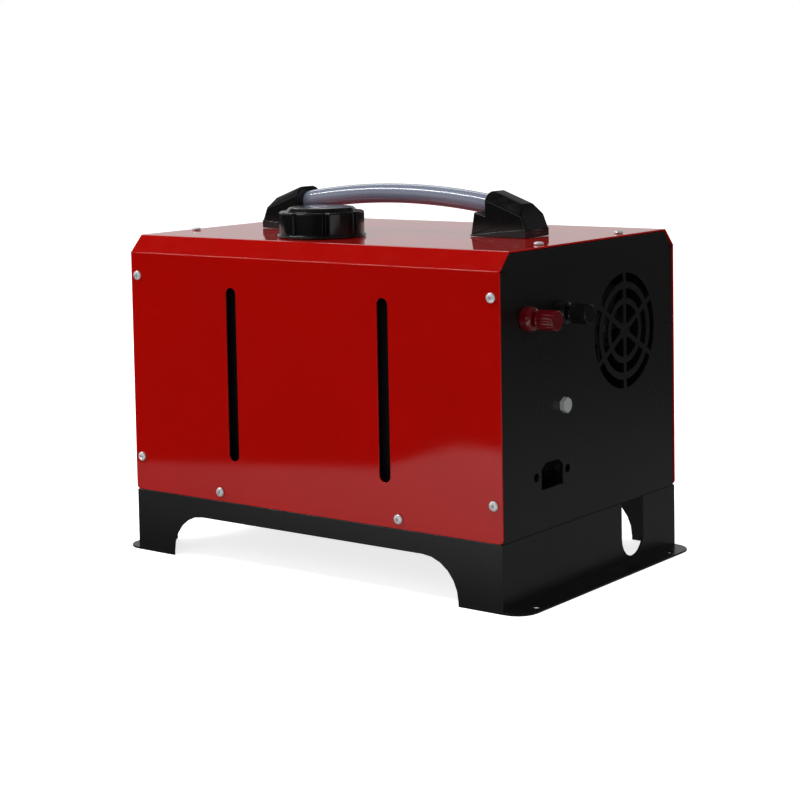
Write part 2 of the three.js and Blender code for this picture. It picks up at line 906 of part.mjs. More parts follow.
function makeTank() {
  const outside = alongZ(
    roundedRectangle(tankLeft, tankRight, tankFront, tankBack, tankCorner, 3),
    tankFoot,
    tankTop,
  );
  const inside = alongZ(
    roundedRectangle(
      tankLeft + tankWall,
      tankRight - tankWall,
      tankFront + tankWall,
      tankBack - tankWall,
      tankCorner - tankWall,
      3,
    ),
    tankFoot + tankWall,
    tankTop - tankWall,
  );
  const neck = rodZ(neckRadius, tankTop - tankWall, neckTop, fillerX, fillerY, 24);
  const bore = rodZ(neckBore, tankTop - 2 * tankWall, neckTop + overshoot, fillerX, fillerY, 20);
  const nippleRoot = tankRight - tankWall / 2;
  const nipple = rodX(nippleRadius, nippleRoot, tankRight + nippleLength, nippleY, nippleZ, 10);
  return cut(join(outside, neck, nipple), inside, bore);
}

piece('fuel_tank', makeTank(), tankPlastic);

const gasketFoot = neckTop + fit;
const capInsideTop = gasketFoot + gasketHeight + fit;

const gasket = cut(
  rodZ(neckRadius, gasketFoot, gasketFoot + gasketHeight, fillerX, fillerY, 24),
  rodZ(
    neckBore - gasketInset,
    gasketFoot - overshoot,
    gasketFoot + gasketHeight + overshoot,
    fillerX,
    fillerY,
    20,
  ),
);
piece('cap_gasket', gasket, rubber);

function lobedOutline() {
  const steps = 5;
  const points = [];
  for (let lobe = 0; lobe < capLobes; lobe += 1) {
    const pitch = (2 * Math.PI) / capLobes;
    const start = lobe * pitch;
    points.push([fillerX + (capRadius - capGroove) * Math.cos(start),
      fillerY + (capRadius - capGroove) * Math.sin(start)]);
    for (let i = 0; i <= steps; i += 1) {
      const angle = start + pitch * (0.1 + (0.8 * i) / steps);
      points.push([fillerX + capRadius * Math.cos(angle), fillerY + capRadius * Math.sin(angle)]);
    }
  }
  return points;
}

function makeCap() {
  const body = alongZ(lobedOutline(), capFoot, capFoot + capHeight);
  const flange = rodZ(capFlangeRadius, capFoot, capFoot + capFlangeHeight, fillerX, fillerY, 32);
  const disc = turnedZ(
    [
      [0, capFoot + capHeight - 1],
      [capDiscRadius + capDiscBevel / 2, capFoot + capHeight - 1],
      [capDiscRadius + capDiscBevel / 2, capFoot + capHeight],
      [capDiscRadius - capDiscBevel / 2, capFoot + capHeight + capDiscHeight],
      [0, capFoot + capHeight + capDiscHeight],
    ],
    fillerX,
    fillerY,
    28,
  );
  const hollow = rodZ(neckRadius + capRunning, capFoot - 1, capInsideTop, fillerX, fillerY, 24);
  return cut(join(body, flange, disc), hollow);
}

piece('tank_cap', makeCap(), glossBlack);

// ---------------------------------------------------------------- terminals and earth bolt

const collarFoot = panelFace + fit;
const collarEnd = collarFoot + collarLength;
const knobStart = collarEnd + knobGap;
const knobEnd = knobStart + knobLength;

function makeCollar(y) {
  const profile = [
    [studRadius + fit, panelBack - collarNeckLength],
    [collarNeckRadius, panelBack - collarNeckLength],
    [collarNeckRadius, collarFoot],
    [collarRadius, collarFoot],
    [collarRadius, collarEnd - collarShoulder],
    [collarRadius - collarShoulder / 3, collarEnd - collarShoulder / 3],
    [collarCrown, collarEnd],
    [studRadius + fit, collarEnd],
    [studRadius + fit, panelBack - collarNeckLength],
  ];
  return turnedX(profile, y, terminalZ, 16);
}

function makeKnob(y) {
  const points = [];
  for (let i = 0; i < 2 * knobFlutes; i += 1) {
    const radius = i % 2 ? knobRadius : knobRadius - knobFluteDepth;
    const angle = (i * Math.PI) / knobFlutes;
    points.push([y + radius * Math.cos(angle), terminalZ + radius * Math.sin(angle)]);
  }
  const fluted = alongX(points, knobStart, knobEnd);
  const bore = rodX(
    studRadius + fit,
    knobStart - overshoot,
    knobStart + knobBoreDepth,
    y,
    terminalZ,
    10,
  );
  return cut(fluted, bore);
}

for (const [label, y, look] of terminals) {
  piece(`terminal_collar_${label}`, makeCollar(y), look);
  const studEnd = knobStart + knobBoreDepth - fit;
  piece(`terminal_stud_${label}`, rodX(studRadius, panelBack - studInside, studEnd, y, terminalZ, 10), brass);
  piece(`terminal_knob_${label}`, makeKnob(y), look);
}

const boltCorner = boltAcrossFlats / Math.sqrt(3);
const boltFoot = panelFace + fit;
const boltHead = alongX(
  ringPoints(0, 0, boltCorner, 6).map(([u, v]) => [boltY + v, boltZ + u]),
  boltFoot,
  boltFoot + boltHeadHeight,
);
const boltShank = rodX(boltRadius, boltFoot - boltLength, boltFoot + 1, boltY, boltZ, 12);
piece('earth_bolt', join(boltHead, boltShank), zinc);

// ---------------------------------------------------------------- controller

const controllerBack = -(panelFace + fit);
const controllerFace = controllerBack - controllerDepth;
const buttonFromMiddle = (controllerBackY - controllerFrontY) / 2 - buttonInset;
const screenWidth = 2 * (buttonFromMiddle - buttonRadius - screenMargin);
const buttonPlaces = sides.flatMap((side) =>
  sides.map((way) => [controllerY + side * buttonFromMiddle, controllerZ + way * buttonSpread]),
);

function makeControllerHousing() {
  const rear = roundedRectangle(
    controllerFrontY,
    controllerBackY,
    controllerFootZ,
    controllerTopZ,
    controllerCorner,
    2,
  );
  const plinth = alongX(rear, controllerFace + controllerBevel, controllerBack);
  const bevelSection = [
    [controllerFace, controllerFootZ + controllerBevel],
    [controllerFace + controllerBevel + 1, controllerFootZ - 1],
    [controllerFace + controllerBevel + 1, controllerTopZ + 1],
    [controllerFace, controllerTopZ - controllerBevel],
  ];
  const bevelPlan = [
    [controllerFace, controllerFrontY + controllerBevel],
    [controllerFace + controllerBevel + 1, controllerFrontY - 1],
    [controllerFace + controllerBevel + 1, controllerBackY + 1],
    [controllerFace, controllerBackY - controllerBevel],
  ];
  const frontBlock = common(
    alongY(bevelSection, controllerFrontY, controllerBackY),
    alongZ(bevelPlan, controllerFootZ, controllerTopZ),
  );
  const front = common(frontBlock, alongX(rear, controllerFace - 1, controllerBack));
  const rootEnd = -(panelBack - controllerRootDepth);
  const root = alongX(controllerRoot(0), controllerBack - 1, rootEnd);
  const recess = block(
    controllerFace - overshoot,
    controllerFace + screenDepth + fit,
    controllerY - screenWidth / 2 - fit,
    controllerY + screenWidth / 2 + fit,
    controllerZ - screenHeight / 2 - fit,
    controllerZ + screenHeight / 2 + fit,
  );
  const wells = buttonPlaces.map(([y, z]) =>
    rodX(
      buttonRadius + buttonClearance,
      controllerFace - overshoot,
      controllerFace + buttonDepth + buttonTravel + fit,
      y,
      z,
      16,
    ),
  );
  return cut(join(plinth, front, root), recess, ...wells);
}

piece('controller_housing', makeControllerHousing(), mattBlack);
piece(
  'controller_screen',
  block(
    controllerFace,
    controllerFace + screenDepth,
    controllerY - screenWidth / 2,
    controllerY + screenWidth / 2,
    controllerZ - screenHeight / 2,
    controllerZ + screenHeight / 2,
  ),
  screenGlass,
);
buttonPlaces.forEach(([y, z], index) => {
  const button = rodX(buttonRadius, controllerFace - buttonProud, controllerFace + buttonDepth, y, z, 16);
  piece(`controller_button_${index + 1}`, button, buttonPlastic);
});

// ---------------------------------------------------------------- warm air outlet

const outletTip = -(panelFace + outletReach);
const ringOuter = outletBore - ringClearance;
const ringInner = ringOuter - ringWall;
const slatX = outletTip + slatChord / 2 + slatSetback;

const collarTube = outletBore + outletWall;
const outletEar = -(panelFace + fit + outletFlangeSheet);
const outletCollar = turnedX(
  [
    [outletBore, -(panelFace + outletProud)],
    [outletBore, -(panelBack - outletInside)],
    [collarTube, -(panelBack - outletInside)],
    [collarTube, -(panelFace + fit)],
    [outletFlangeRadius, -(panelFace + fit)],
    [outletFlangeRadius, outletEar],
    [collarTube, outletEar],
    [collarTube, -(panelFace + outletProud)],
    [outletBore, -(panelFace + outletProud)],
  ],
  ductY,
  ductZ,
  32,
);
piece('outlet_collar', outletCollar, mattBlack);

const slatRows = [];
for (let i = 0; i < slatCount; i += 1) {
  slatRows.push(ductZ + (i - (slatCount - 1) / 2) * slatSpacing);
}

// Half the width that the ring leaves at a slat's height.
function ringHalfWidth(z) {
  return Math.sqrt(ringInner ** 2 - (z - ductZ) ** 2);
}

function makeLouvreRing() {
  const brim = -(panelFace + outletProud) - fit;
  const ring = turnedX(
    [
      [ringInner, outletTip],
      [ringInner, -(panelFace - ringInside)],
      [ringOuter, -(panelFace - ringInside)],
      [ringOuter, brim],
      [collarTube, brim],
      [collarTube, outletTip + ringBevel],
      [collarTube - ringBevel, outletTip],
      [ringInner, outletTip],
    ],
    ductY,
    ductZ,
    32,
  );
  const pinHoles = slatRows.map((z) =>
    rodY(
      slatPinRadius + slatPinClearance,
      ductY - ringHalfWidth(z) - slatPinEntry - fit,
      ductY + ringHalfWidth(z) + slatPinEntry + fit,
      slatX,
      z,
      10,
    ),
  );
  return cut(ring, ...pinHoles);
}

piece('louvre_ring', makeLouvreRing(), mattBlack);

slatRows.forEach((z, index) => {
  const blade = alongY(
    roundedRectangle(
      slatX - slatChord / 2,
      slatX + slatChord / 2,
      z - slatSheet / 2,
      z + slatSheet / 2,
      0.45 * slatSheet,
      2,
    ),
    ductY - slatHalfLength,
    ductY + slatHalfLength,
  );
  const reach = ringHalfWidth(z) + slatPinEntry;
  const spindle = rodY(slatPinRadius, ductY - reach, ductY + reach, slatX, z, 10);
  piece(`outlet_slat_${index + 1}`, join(blade, spindle), mattBlack);
});

// ---------------------------------------------------------------- heating unit

const cradleX = finLeft + cradleFromFins;

function shellSection(depth) {
  return roundedRectangle(
    ductY - shellWidth / 2 + depth,
    ductY + shellWidth / 2 - depth,
    shellFoot + depth,
    shellFoot + shellHeight - depth,
    shellCorner - depth,
    5,
  );
}

// One half of the plastic shell, lower or upper.
function makeShell(way) {
  const tube = cut(
    alongX(shellSection(0), shellLeft, shellRight),
    alongX(shellSection(shellWall), shellLeft + shellWall, shellRight + overshoot),
  );
  const bulkhead = cut(
    alongX(shellSection(shellWall / 2), bulkheadLeft, bulkheadRight),
    rodX(bulkheadBore, bulkheadLeft - overshoot, bulkheadRight + overshoot, ductY, ductZ, 24),
  );
  const cradle = cut(
    alongX(shellSection(shellWall / 2), cradleX, cradleX + cradleSheet),
    rodX(exchangerFin + fit, cradleX - overshoot, cradleX + cradleSheet + overshoot, ductY, ductZ, 36),
  );
  const outlet = rodX(collarTube + fit, shellLeft - overshoot, shellLeft + 2 * shellWall, ductY, ductZ, 32);
  const whole = cut(join(tube, bulkhead, cradle), outlet);
  const stubHoles = stubPlaces.map((x) =>
    rodZ(stubRadius + fit, shellFoot - overshoot, shellFoot + 2 * shellWall, x, ductY, 16),
  );
  stubHoles.push(
    rodZ(lineRadius + lineClearance, shellFoot - overshoot, shellFoot + 2 * shellWall, feedX, feedY, 10),
  );
  const split = ductZ + (way * fit) / 2;
  const half = way < 0
    ? block(shellLeft - 1, shellRight + 1, ductY - shellWidth, ductY + shellWidth, 0, split)
    : block(shellLeft - 1, shellRight + 1, ductY - shellWidth, ductY + shellWidth, split, 2 * caseTop);
  return cut(common(whole, half), ...stubHoles);
}

piece('heater_lower_shell', makeShell(-1), mattBlack);
piece('heater_upper_shell', makeShell(1), mattBlack);

function makeExchanger() {
  const core = rodX(exchangerCore, finLeft, exchangerRight, ductY, ductZ, 24);
  const flange = rodX(exchangerFin, flangeLeft, exchangerRight, ductY, ductZ, 32);
  const fins = [];
  for (let i = 0; i < exchangerFinCount; i += 1) {
    const turn = ((i + 0.5) * 2 * Math.PI) / exchangerFinCount;
    const overStubs = Math.sin(turn) < -0.6;
    const fin = block(
      finLeft,
      overStubs ? stubPlaces[1] - stubRadius - stubMargin : finRight,
      exchangerBore + 2,
      exchangerFin,
      -exchangerFinSheet / 2,
      exchangerFinSheet / 2,
    );
    fins.push(fin.rotateX(turn).translate(0, ductY, ductZ));
  }
  const stubTop = ductZ - exchangerBore - 1;
  const stubs = stubPlaces.map((x) => rodZ(stubRadius, stubEnd, stubTop, x, ductY, 16));
  const bore = rodX(
    exchangerBore,
    finLeft + exchangerEndWall,
    exchangerRight + overshoot,
    ductY,
    ductZ,
    24,
  );
  const stubBores = stubPlaces.map((x) => rodZ(stubBore, stubEnd - overshoot, stubTop + 4, x, ductY, 14));
  const plugHole = rodZ(glowPlugRadius + fit, ductZ, ductZ + exchangerFin, plugX, ductY, 12);
  return cut(join(core, flange, ...fins, ...stubs), bore, ...stubBores, plugHole);
}

piece('heat_exchanger', makeExchanger(), castAluminium);

const burnerRight = exchangerRight - fit;
const burnerLeft = finLeft + exchangerEndWall + burnerEndGap;
const burnerTube = turnedX(
  [
    [burnerRadius - burnerWall, burnerLeft],
    [burnerRadius, burnerLeft],
    [burnerRadius, burnerRight - burnerRimSheet],
    [exchangerBore - fit, burnerRight - burnerRimSheet],
    [exchangerBore - fit, burnerRight],
    [burnerRadius - burnerWall, burnerRight],
    [burnerRadius - burnerWall, burnerLeft],
  ],
  ductY,
  ductZ,
  24,
);
piece('burner_tube', burnerTube, steel);

const motorLeft = bulkheadRight + fit;
const motorRight = motorLeft + motorPlateSheet + motorLength;

const motor = cut(
  join(
    rodX(motorPlateRadius, motorLeft, motorLeft + motorPlateSheet, ductY, ductZ, 28),
    rodX(motorRadius, motorLeft + 1, motorRight, ductY, ductZ, 24),
  ),
  rodX(shaftRadius + shaftClearance, motorLeft - overshoot, motorRight + overshoot, ductY, ductZ, 12),
);
piece('fan_motor', motor, steel);

const rotor = new THREE.Group();
rotor.position.set(0, ductY, ductZ);
heater.add(rotor);

const fanLeft = motorRight + fanFromMotor;
const fanRight = fanLeft + fanWidth;
const impellerLeft = exchangerRight + impellerGap;
const impellerRight = impellerLeft + impellerDisc;
const shaft = rodX(shaftRadius, impellerLeft - shaftSpare / 2, fanRight + shaftSpare, 0, 0, 12);
piece('fan_shaft', shaft, steel, rotor);

function makeImpeller() {
  let wheel = rodX(impellerRadius, impellerLeft, impellerRight, 0, 0, 28);
  for (let i = 0; i < impellerVanes; i += 1) {
    const vane = block(
      impellerRight - 1,
      impellerRight + impellerVane,
      impellerHubRadius - 1,
      impellerRadius,
      -impellerVaneSheet / 2,
      impellerVaneSheet / 2,
    );
    wheel = join(wheel, vane.rotateX((i * 2 * Math.PI) / impellerVanes));
  }
  const hub = rodX(impellerHubRadius, impellerLeft, impellerRight + impellerVane, 0, 0, 14);
  const bore = rodX(shaftRadius + fit, impellerLeft - 1, impellerRight + impellerVane + 1, 0, 0, 12);
  return cut(join(wheel, hub), bore);
}

piece('combustion_impeller', makeImpeller(), mattBlack, rotor);

function makeFan() {
  const pitch = THREE.MathUtils.degToRad(fanBladeAngle);
  const halfChord = (fanBladeShare * fanWidth) / (2 * Math.cos(pitch));
  let wheel = rodX(fanHubRadius, fanLeft, fanRight, 0, 0, 20);
  for (let i = 0; i < fanBlades; i += 1) {
    const blade = block(
      -halfChord,
      halfChord,
      fanHubRadius - 2,
      fanRadius,
      -fanBladeSheet / 2,
      fanBladeSheet / 2,
    );
    blade.rotateY(pitch);
    blade.translate((fanLeft + fanRight) / 2, 0, 0);
    wheel = join(wheel, blade.rotateX((i * 2 * Math.PI) / fanBlades));
  }
  return cut(wheel, rodX(shaftRadius + fit, fanLeft - 1, fanRight + 1, 0, 0, 12));
}

piece('warm_air_fan', makeFan(), mattBlack, rotor);

const plugFoot = ductZ + burnerRadius + fit;
const plugHexFoot = ductZ + exchangerCore + fit;
const glowPlug = turnedZ(
  [
    [0, plugFoot],
    [glowPlugRadius, plugFoot],
    [glowPlugRadius, plugHexFoot],
    [glowPlugHexRadius, plugHexFoot],
    [glowPlugHexRadius, plugHexFoot + glowPlugHexHeight],
    [0, plugHexFoot + glowPlugHexHeight],
  ],
  plugX,
  ductY,
  6,
);
piece('glow_plug', glowPlug, steel);

const ceiling = shellFoot + shellHeight - shellWall;
const controlLeft = motorLeft + motorPlateSheet + controlGap;
const controlUnit = join(
  block(
    controlLeft,
    controlLeft + controlLength,
    ductY - controlWidth / 2,
    ductY + controlWidth / 2,
    ceiling - fit - controlHeight,
    ceiling - fit - controlRib,
  ),
  block(
    controlLeft + controlRib,
    controlLeft + controlLength - controlRib,
    ductY - controlWidth / 2 + controlRib,
    ductY + controlWidth / 2 - controlRib,
    ceiling - controlHeight,
    ceiling - fit,
  ),
);
piece('control_unit', controlUnit, mattBlack);

// The saddle is a folded sheet that stands on the pan and carries the heating unit.
function makeSaddle() {
  const top = shellFoot - fit;
  const half = saddleWidth / 2;
  const foot = panTop + fit;
  const profile = [
    [ductY - half - saddleFoot, foot],
    [ductY - half + saddleSheet, foot],
    [ductY - half + saddleSheet, top - saddleSheet],
    [ductY + half - saddleSheet, top - saddleSheet],
    [ductY + half - saddleSheet, foot],
    [ductY + half + saddleFoot, foot],
    [ductY + half + saddleFoot, foot + saddleSheet],
    [ductY + half, foot + saddleSheet],
    [ductY + half, top],
    [ductY - half, top],
    [ductY - half, foot + saddleSheet],
    [ductY - half - saddleFoot, foot + saddleSheet],
  ];
  const sheet = alongX(profile, stubMiddle - saddleLength / 2, stubMiddle + saddleLength / 2);
  const holes = stubPlaces.map((x) =>
    rodZ(stubRadius + 1, top - saddleSheet - overshoot, top + overshoot, x, ductY, 16),
  );
  return cut(sheet, ...holes);
}

piece('heater_saddle', makeSaddle(), zinc);

// ---------------------------------------------------------------- fuel pump and lines

const pumpX = panelBack - pumpFromInlet;
const pumpY = ductY - pumpFromDuct;
const pumpZ = panTop + pumpRise;
const pumpLeft = pumpX - pumpLength / 2;
const pumpRight = pumpX + pumpLength / 2;
const fuelPump = turnedX(
  [
    [0, pumpLeft - pumpNippleLength],
    [pumpNippleRadius, pumpLeft - pumpNippleLength],
    [pumpNippleRadius, pumpLeft],
    [pumpRadius - pumpTaperDrop, pumpLeft],
    [pumpRadius, pumpLeft + pumpTaper],
    [pumpRadius, pumpRight - pumpTaper],
    [pumpRadius - pumpTaperDrop, pumpRight],
    [pumpNippleRadius, pumpRight],
    [pumpNippleRadius, pumpRight + pumpNippleLength],
    [0, pumpRight + pumpNippleLength],
  ],
  pumpY,
  pumpZ,
  18,
);
piece('fuel_pump', fuelPump, steel);

function makePumpClamp() {
  const start = pumpX - clampLength / 2;
  const end = pumpX + clampLength / 2;
  const foot = panTop + fit;
  const half = pumpRadius + clampWall;
  return cut(
    join(
      rodX(half, start, end, pumpY, pumpZ, 20),
      block(start, end, pumpY - half, pumpY + half, foot, pumpZ),
      block(start, end, pumpY - clampFootWidth / 2, pumpY + clampFootWidth / 2, foot, foot + clampFootHeight),
    ),
    rodX(pumpRadius + fit, start - overshoot, end + overshoot, pumpY, pumpZ, 20),
  );
}

piece('pump_clamp', makePumpClamp(), rubber);

const supplyStart = tankRight + nippleLength + fit;
const supplyEnd = pumpRight + pumpNippleLength + fit;
const supplyLine = tubeAlong(
  [
    [supplyStart, nippleY, nippleZ],
    [supplyStart + supplyLead, nippleY, nippleZ],
    [supplyStart + supplySwing, nippleY + supplySide, nippleZ],
    [supplyEnd + 0.6 * supplyBulge, nippleY + 0.45 * (pumpY - nippleY), (nippleZ + pumpZ) / 2],
    [supplyEnd + supplyBulge, pumpY - 2 * supplyBulge, pumpZ],
    [supplyEnd + 0.9 * supplyBulge, pumpY - 0.85 * supplyBulge, pumpZ],
    [supplyEnd + 2 * lineStraight, pumpY - 2, pumpZ],
    [supplyEnd + lineStraight, pumpY, pumpZ],
    [supplyEnd, pumpY, pumpZ],
  ],
  lineRadius,
  8,
  22,
);
piece('fuel_line_supply', supplyLine, rubber);

const feedStart = pumpLeft - pumpNippleLength - fit;
const feedTop = ductZ - exchangerFin - fit;
const feedHeights = feedShares.map((share) => pumpZ + share * (shellFoot - pumpZ));
const feedLine = tubeAlong(
  [
    [feedStart, pumpY, pumpZ],
    [feedStart - lineStraight, pumpY, pumpZ],
    [(feedStart + feedX) / 2 - feedBulge, (pumpY + feedY) / 2 - 2, feedHeights[0]],
    [feedX, feedY - 2, feedHeights[1]],
    [feedX, feedY, feedHeights[2]],
    [feedX, feedY, feedTop],
  ],
  lineRadius,
  8,
  18,
);
piece('fuel_line_feed', feedLine, rubber);

export default heater;
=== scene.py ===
import math
import random

import bmesh
import bpy
from mathutils import Matrix, Vector


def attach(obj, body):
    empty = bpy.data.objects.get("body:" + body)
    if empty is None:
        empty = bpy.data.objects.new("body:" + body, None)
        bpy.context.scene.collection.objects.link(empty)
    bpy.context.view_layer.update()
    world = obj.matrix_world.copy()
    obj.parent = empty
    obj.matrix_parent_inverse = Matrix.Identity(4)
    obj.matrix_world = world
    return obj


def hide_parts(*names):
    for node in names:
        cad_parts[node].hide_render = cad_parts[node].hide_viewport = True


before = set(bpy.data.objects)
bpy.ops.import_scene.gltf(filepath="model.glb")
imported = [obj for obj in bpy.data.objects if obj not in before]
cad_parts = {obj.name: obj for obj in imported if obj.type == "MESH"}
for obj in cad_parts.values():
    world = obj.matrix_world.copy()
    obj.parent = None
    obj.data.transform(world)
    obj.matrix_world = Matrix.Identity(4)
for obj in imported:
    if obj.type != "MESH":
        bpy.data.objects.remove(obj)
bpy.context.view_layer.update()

# Shapes are worked out in millimetres and brought to metres when a piece is finished.
# X runs along the case, Y from the front to the back, Z up.

caseSettings = {
    "halfLength": 171.0, "halfDepth": 118.0, "foot": 48.0, "top": 245.0,
    "slopeDrop": 12.8, "slopeRun": 12.0, "sheet": 1.2, "gap": 0.3,
    "panelFace": 170.5, "ductY": 45.7, "ductZ": 174.6,
}


def caseValue(name):
    return caseSettings[name]


cameraSettings = {
    "place": (893.741, -1185.525, 360.132), "azimuth": 37.698, "elevation": 4.25, "roll": -1.075,
    "focalPixels": 1946.878, "picture": 800, "middleRight": -23.636, "middleUp": -174.171,
}


def makeCamera(settings):
    azimuth = math.radians(settings["azimuth"])
    elevation = math.radians(settings["elevation"])
    roll = math.radians(settings["roll"])
    back = Vector((math.sin(azimuth) * math.cos(elevation), -math.cos(azimuth) * math.cos(elevation),
                   math.sin(elevation)))
    level = (-back).cross(Vector((0, 0, 1))).normalized()
    upright = level.cross(-back)
    right = math.cos(roll) * level + math.sin(roll) * upright
    up = -math.sin(roll) * level + math.cos(roll) * upright
    data = bpy.data.cameras.new("camera")
    data.sensor_fit = "HORIZONTAL"
    data.sensor_width = 36
    data.lens = settings["focalPixels"] * data.sensor_width / settings["picture"]
    data.shift_x = -settings["middleRight"] / settings["picture"]
    data.shift_y = settings["middleUp"] / settings["picture"]
    data.clip_end = 30
    camera = bpy.data.objects.new("camera", data)
    turn = Matrix((right, up, back)).transposed().to_4x4()
    camera.matrix_world = Matrix.Translation(Vector(settings["place"]) / 1000) @ turn
    bpy.context.scene.collection.objects.link(camera)
    bpy.context.scene.camera = camera


makeCamera(cameraSettings)
print("camera placed")


# How a flat shape or a turned one is stood in the case.
drawnAlong = {
    "X": Matrix(((0, 0, 1, 0), (1, 0, 0, 0), (0, 1, 0, 0), (0, 0, 0, 1))),
    "Y": Matrix(((1, 0, 0, 0), (0, 0, 1, 0), (0, 1, 0, 0), (0, 0, 0, 1))),
    "Z": Matrix.Identity(4),
}
pointed = {
    "right": Matrix.Rotation(math.pi / 2, 4, "Y"), "left": Matrix.Rotation(-math.pi / 2, 4, "Y"),
    "front": Matrix.Rotation(math.pi / 2, 4, "X"), "back": Matrix.Rotation(-math.pi / 2, 4, "X"),
    "up": Matrix.Identity(4),
}


def tidyNormals(bm):
    bmesh.ops.remove_doubles(bm, verts=bm.verts[:], dist=0.0005)
    bmesh.ops.recalc_face_normals(bm, faces=bm.faces[:])
    return bm


# One face; corner rounds its corners.
def flatShape(points, corner=0.0, steps=4):
    bm = bmesh.new()
    bm.faces.new([bm.verts.new((u, v, 0)) for u, v in points])
    if corner:
        bmesh.ops.bevel(bm, geom=bm.verts[:], offset=corner, offset_type="OFFSET", segments=steps,
                        profile=0.5, affect="VERTICES", clamp_overlap=True, material=-1)
    return bm


# The faces of a flat shape drawn out along an axis.
def drawnOut(bm, start, end, axis):
    bmesh.ops.translate(bm, verts=bm.verts[:], vec=(0, 0, start))
    far = bmesh.ops.extrude_face_region(bm, geom=bm.faces[:])["geom"]
    bmesh.ops.translate(bm, verts=[v for v in far if isinstance(v, bmesh.types.BMVert)],
                        vec=(0, 0, end - start))
    return tidyNormals(placed(bm, drawnAlong[axis]))


def prism(points, start, end, axis, corner=0.0, steps=4):
    return drawnOut(flatShape(points, corner, steps), start, end, axis)


def box(x0, x1, y0, y1, z0, z1):
    bm = bmesh.new()
    bmesh.ops.create_cube(bm, size=1)
    bmesh.ops.scale(bm, vec=(x1 - x0, y1 - y0, z1 - z0), verts=bm.verts[:])
    bmesh.ops.translate(bm, vec=((x0 + x1) / 2, (y0 + y1) / 2, (z0 + z1) / 2), verts=bm.verts[:])
    return bm


def rod(radius, start, end, axis, u, v, steps=32):
    bm = bmesh.new()
    bmesh.ops.create_circle(bm, cap_ends=True, segments=steps, radius=radius)
    bmesh.ops.translate(bm, vec=(u, v, 0), verts=bm.verts[:])
    return drawnOut(bm, start, end, axis)


# A profile of (radius, height) pairs turned about its axis.
def turned(profile, direction="up", place=(0, 0, 0), steps=48, closed=False):
    bm = bmesh.new()
    verts = [bm.verts.new((radius, 0, height)) for radius, height in profile]
    edges = [bm.edges.new(pair) for pair in zip(verts, verts[1:])]
    if closed:
        edges.append(bm.edges.new((verts[-1], verts[0])))
    bmesh.ops.spin(bm, geom=verts + edges, cent=(0, 0, 0), axis=(0, 0, 1), angle=2 * math.pi,
                   steps=steps, use_merge=True)
    return tidyNormals(placed(bm, Matrix.Translation(place) @ pointed[direction]))


def placed(bm, matrix):
    bmesh.ops.transform(bm, matrix=matrix, verts=bm.verts[:])
    return bm


def moved(bm, x=0, y=0, z=0):
    bmesh.ops.translate(bm, vec=(x, y, z), verts=bm.verts[:])
    return bm


# Several shapes that don't meet, as one.
def together(*shapes):
    whole = bmesh.new()
    for shape in shapes:
        mesh = bpy.data.meshes.new("part")
        shape.to_mesh(mesh)
        shape.free()
        whole.from_mesh(mesh)
        bpy.data.meshes.remove(mesh)
    return whole


def asObject(name, bm):
    mesh = bpy.data.meshes.new(name)
    bm.to_mesh(mesh)
    bm.free()
    made = bpy.data.objects.new(name, mesh)
    bpy.context.scene.collection.objects.link(made)
    return made


def combined(body, tool, operation):
    first, second = asObject("body", body), asObject("tool", tool)
    modifier = first.modifiers.new("combine", "BOOLEAN")
    modifier.object = second
    modifier.operation = operation
    modifier.solver = "EXACT"
    result = bmesh.new()
    result.from_object(first, bpy.context.evaluated_depsgraph_get())
    for used in (first, second):
        mesh = used.data
        bpy.data.objects.remove(used)
        bpy.data.meshes.remove(mesh)
    bmesh.ops.remove_doubles(result, verts=result.verts[:], dist=0.001)
    bmesh.ops.dissolve_limit(result, angle_limit=math.radians(0.5), verts=result.verts[:],
                             edges=result.edges[:])
    return result


def carved(body, *tools):
    return combined(body, together(*tools), "DIFFERENCE")


def joined(body, *others):
    for other in others:
        body = combined(body, other, "UNION")
    return body


# Rounds these edges and marks the new faces, where paint wears first.
def roundOff(bm, edges, width, steps, worn=1.0, clamp=False):
    rim = bm.faces.layers.float.get("rim") or bm.faces.layers.float.new("rim")
    made = bmesh.ops.bevel(bm, geom=edges, offset=width, offset_type="OFFSET", segments=steps,
                           profile=0.5, affect="EDGES", clamp_overlap=clamp, material=-1,
                           loop_slide=True)
    for face in made["faces"]:
        face[rim] = worn
    return bm


def softenEdges(bm, width, steps=2, angle=35):
    sharp = [e for e in bm.edges if e.is_manifold and e.calc_face_angle(0) > math.radians(angle)]
    return roundOff(bm, sharp, width, steps) if width and sharp else bm


# A modelled shape as a piece that rides on a body and stands for CAD nodes.
def finished(name, bm, slot, body, *nodes, edge=0.3, steps=2, angle=35, crease=50):
    softenEdges(bm, edge, steps, angle)
    bmesh.ops.scale(bm, vec=(0.001, 0.001, 0.001), verts=bm.verts[:])
    made = asObject(name, bm)
    made.data.polygons.foreach_set("use_smooth", [True] * len(made.data.polygons))
    made.data.set_sharp_from_angle(angle=math.radians(crease))
    modifier = made.modifiers.new("flatFaces", "WEIGHTED_NORMAL")
    modifier.keep_sharp = True
    shaped = bpy.data.meshes.new_from_object(made.evaluated_get(bpy.context.evaluated_depsgraph_get()))
    plain = made.data
    made.modifiers.clear()
    made.data = shaped
    bpy.data.meshes.remove(plain)
    shaped.name = name
    shaped.materials.clear()
    shaped.materials.append(materials[slot])
    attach(made, body)
    if nodes:
        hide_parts(*nodes)
    return made


# A merged copy of a CAD node, in millimetres.
def copyOf(node):
    bm = bmesh.new()
    bm.from_mesh(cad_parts[node].data)
    bmesh.ops.remove_doubles(bm, verts=bm.verts[:], dist=1e-6)
    bmesh.ops.scale(bm, vec=(1000, 1000, 1000), verts=bm.verts[:])
    bmesh.ops.dissolve_limit(bm, angle_limit=math.radians(0.5), verts=bm.verts[:], edges=bm.edges[:])
    return bm


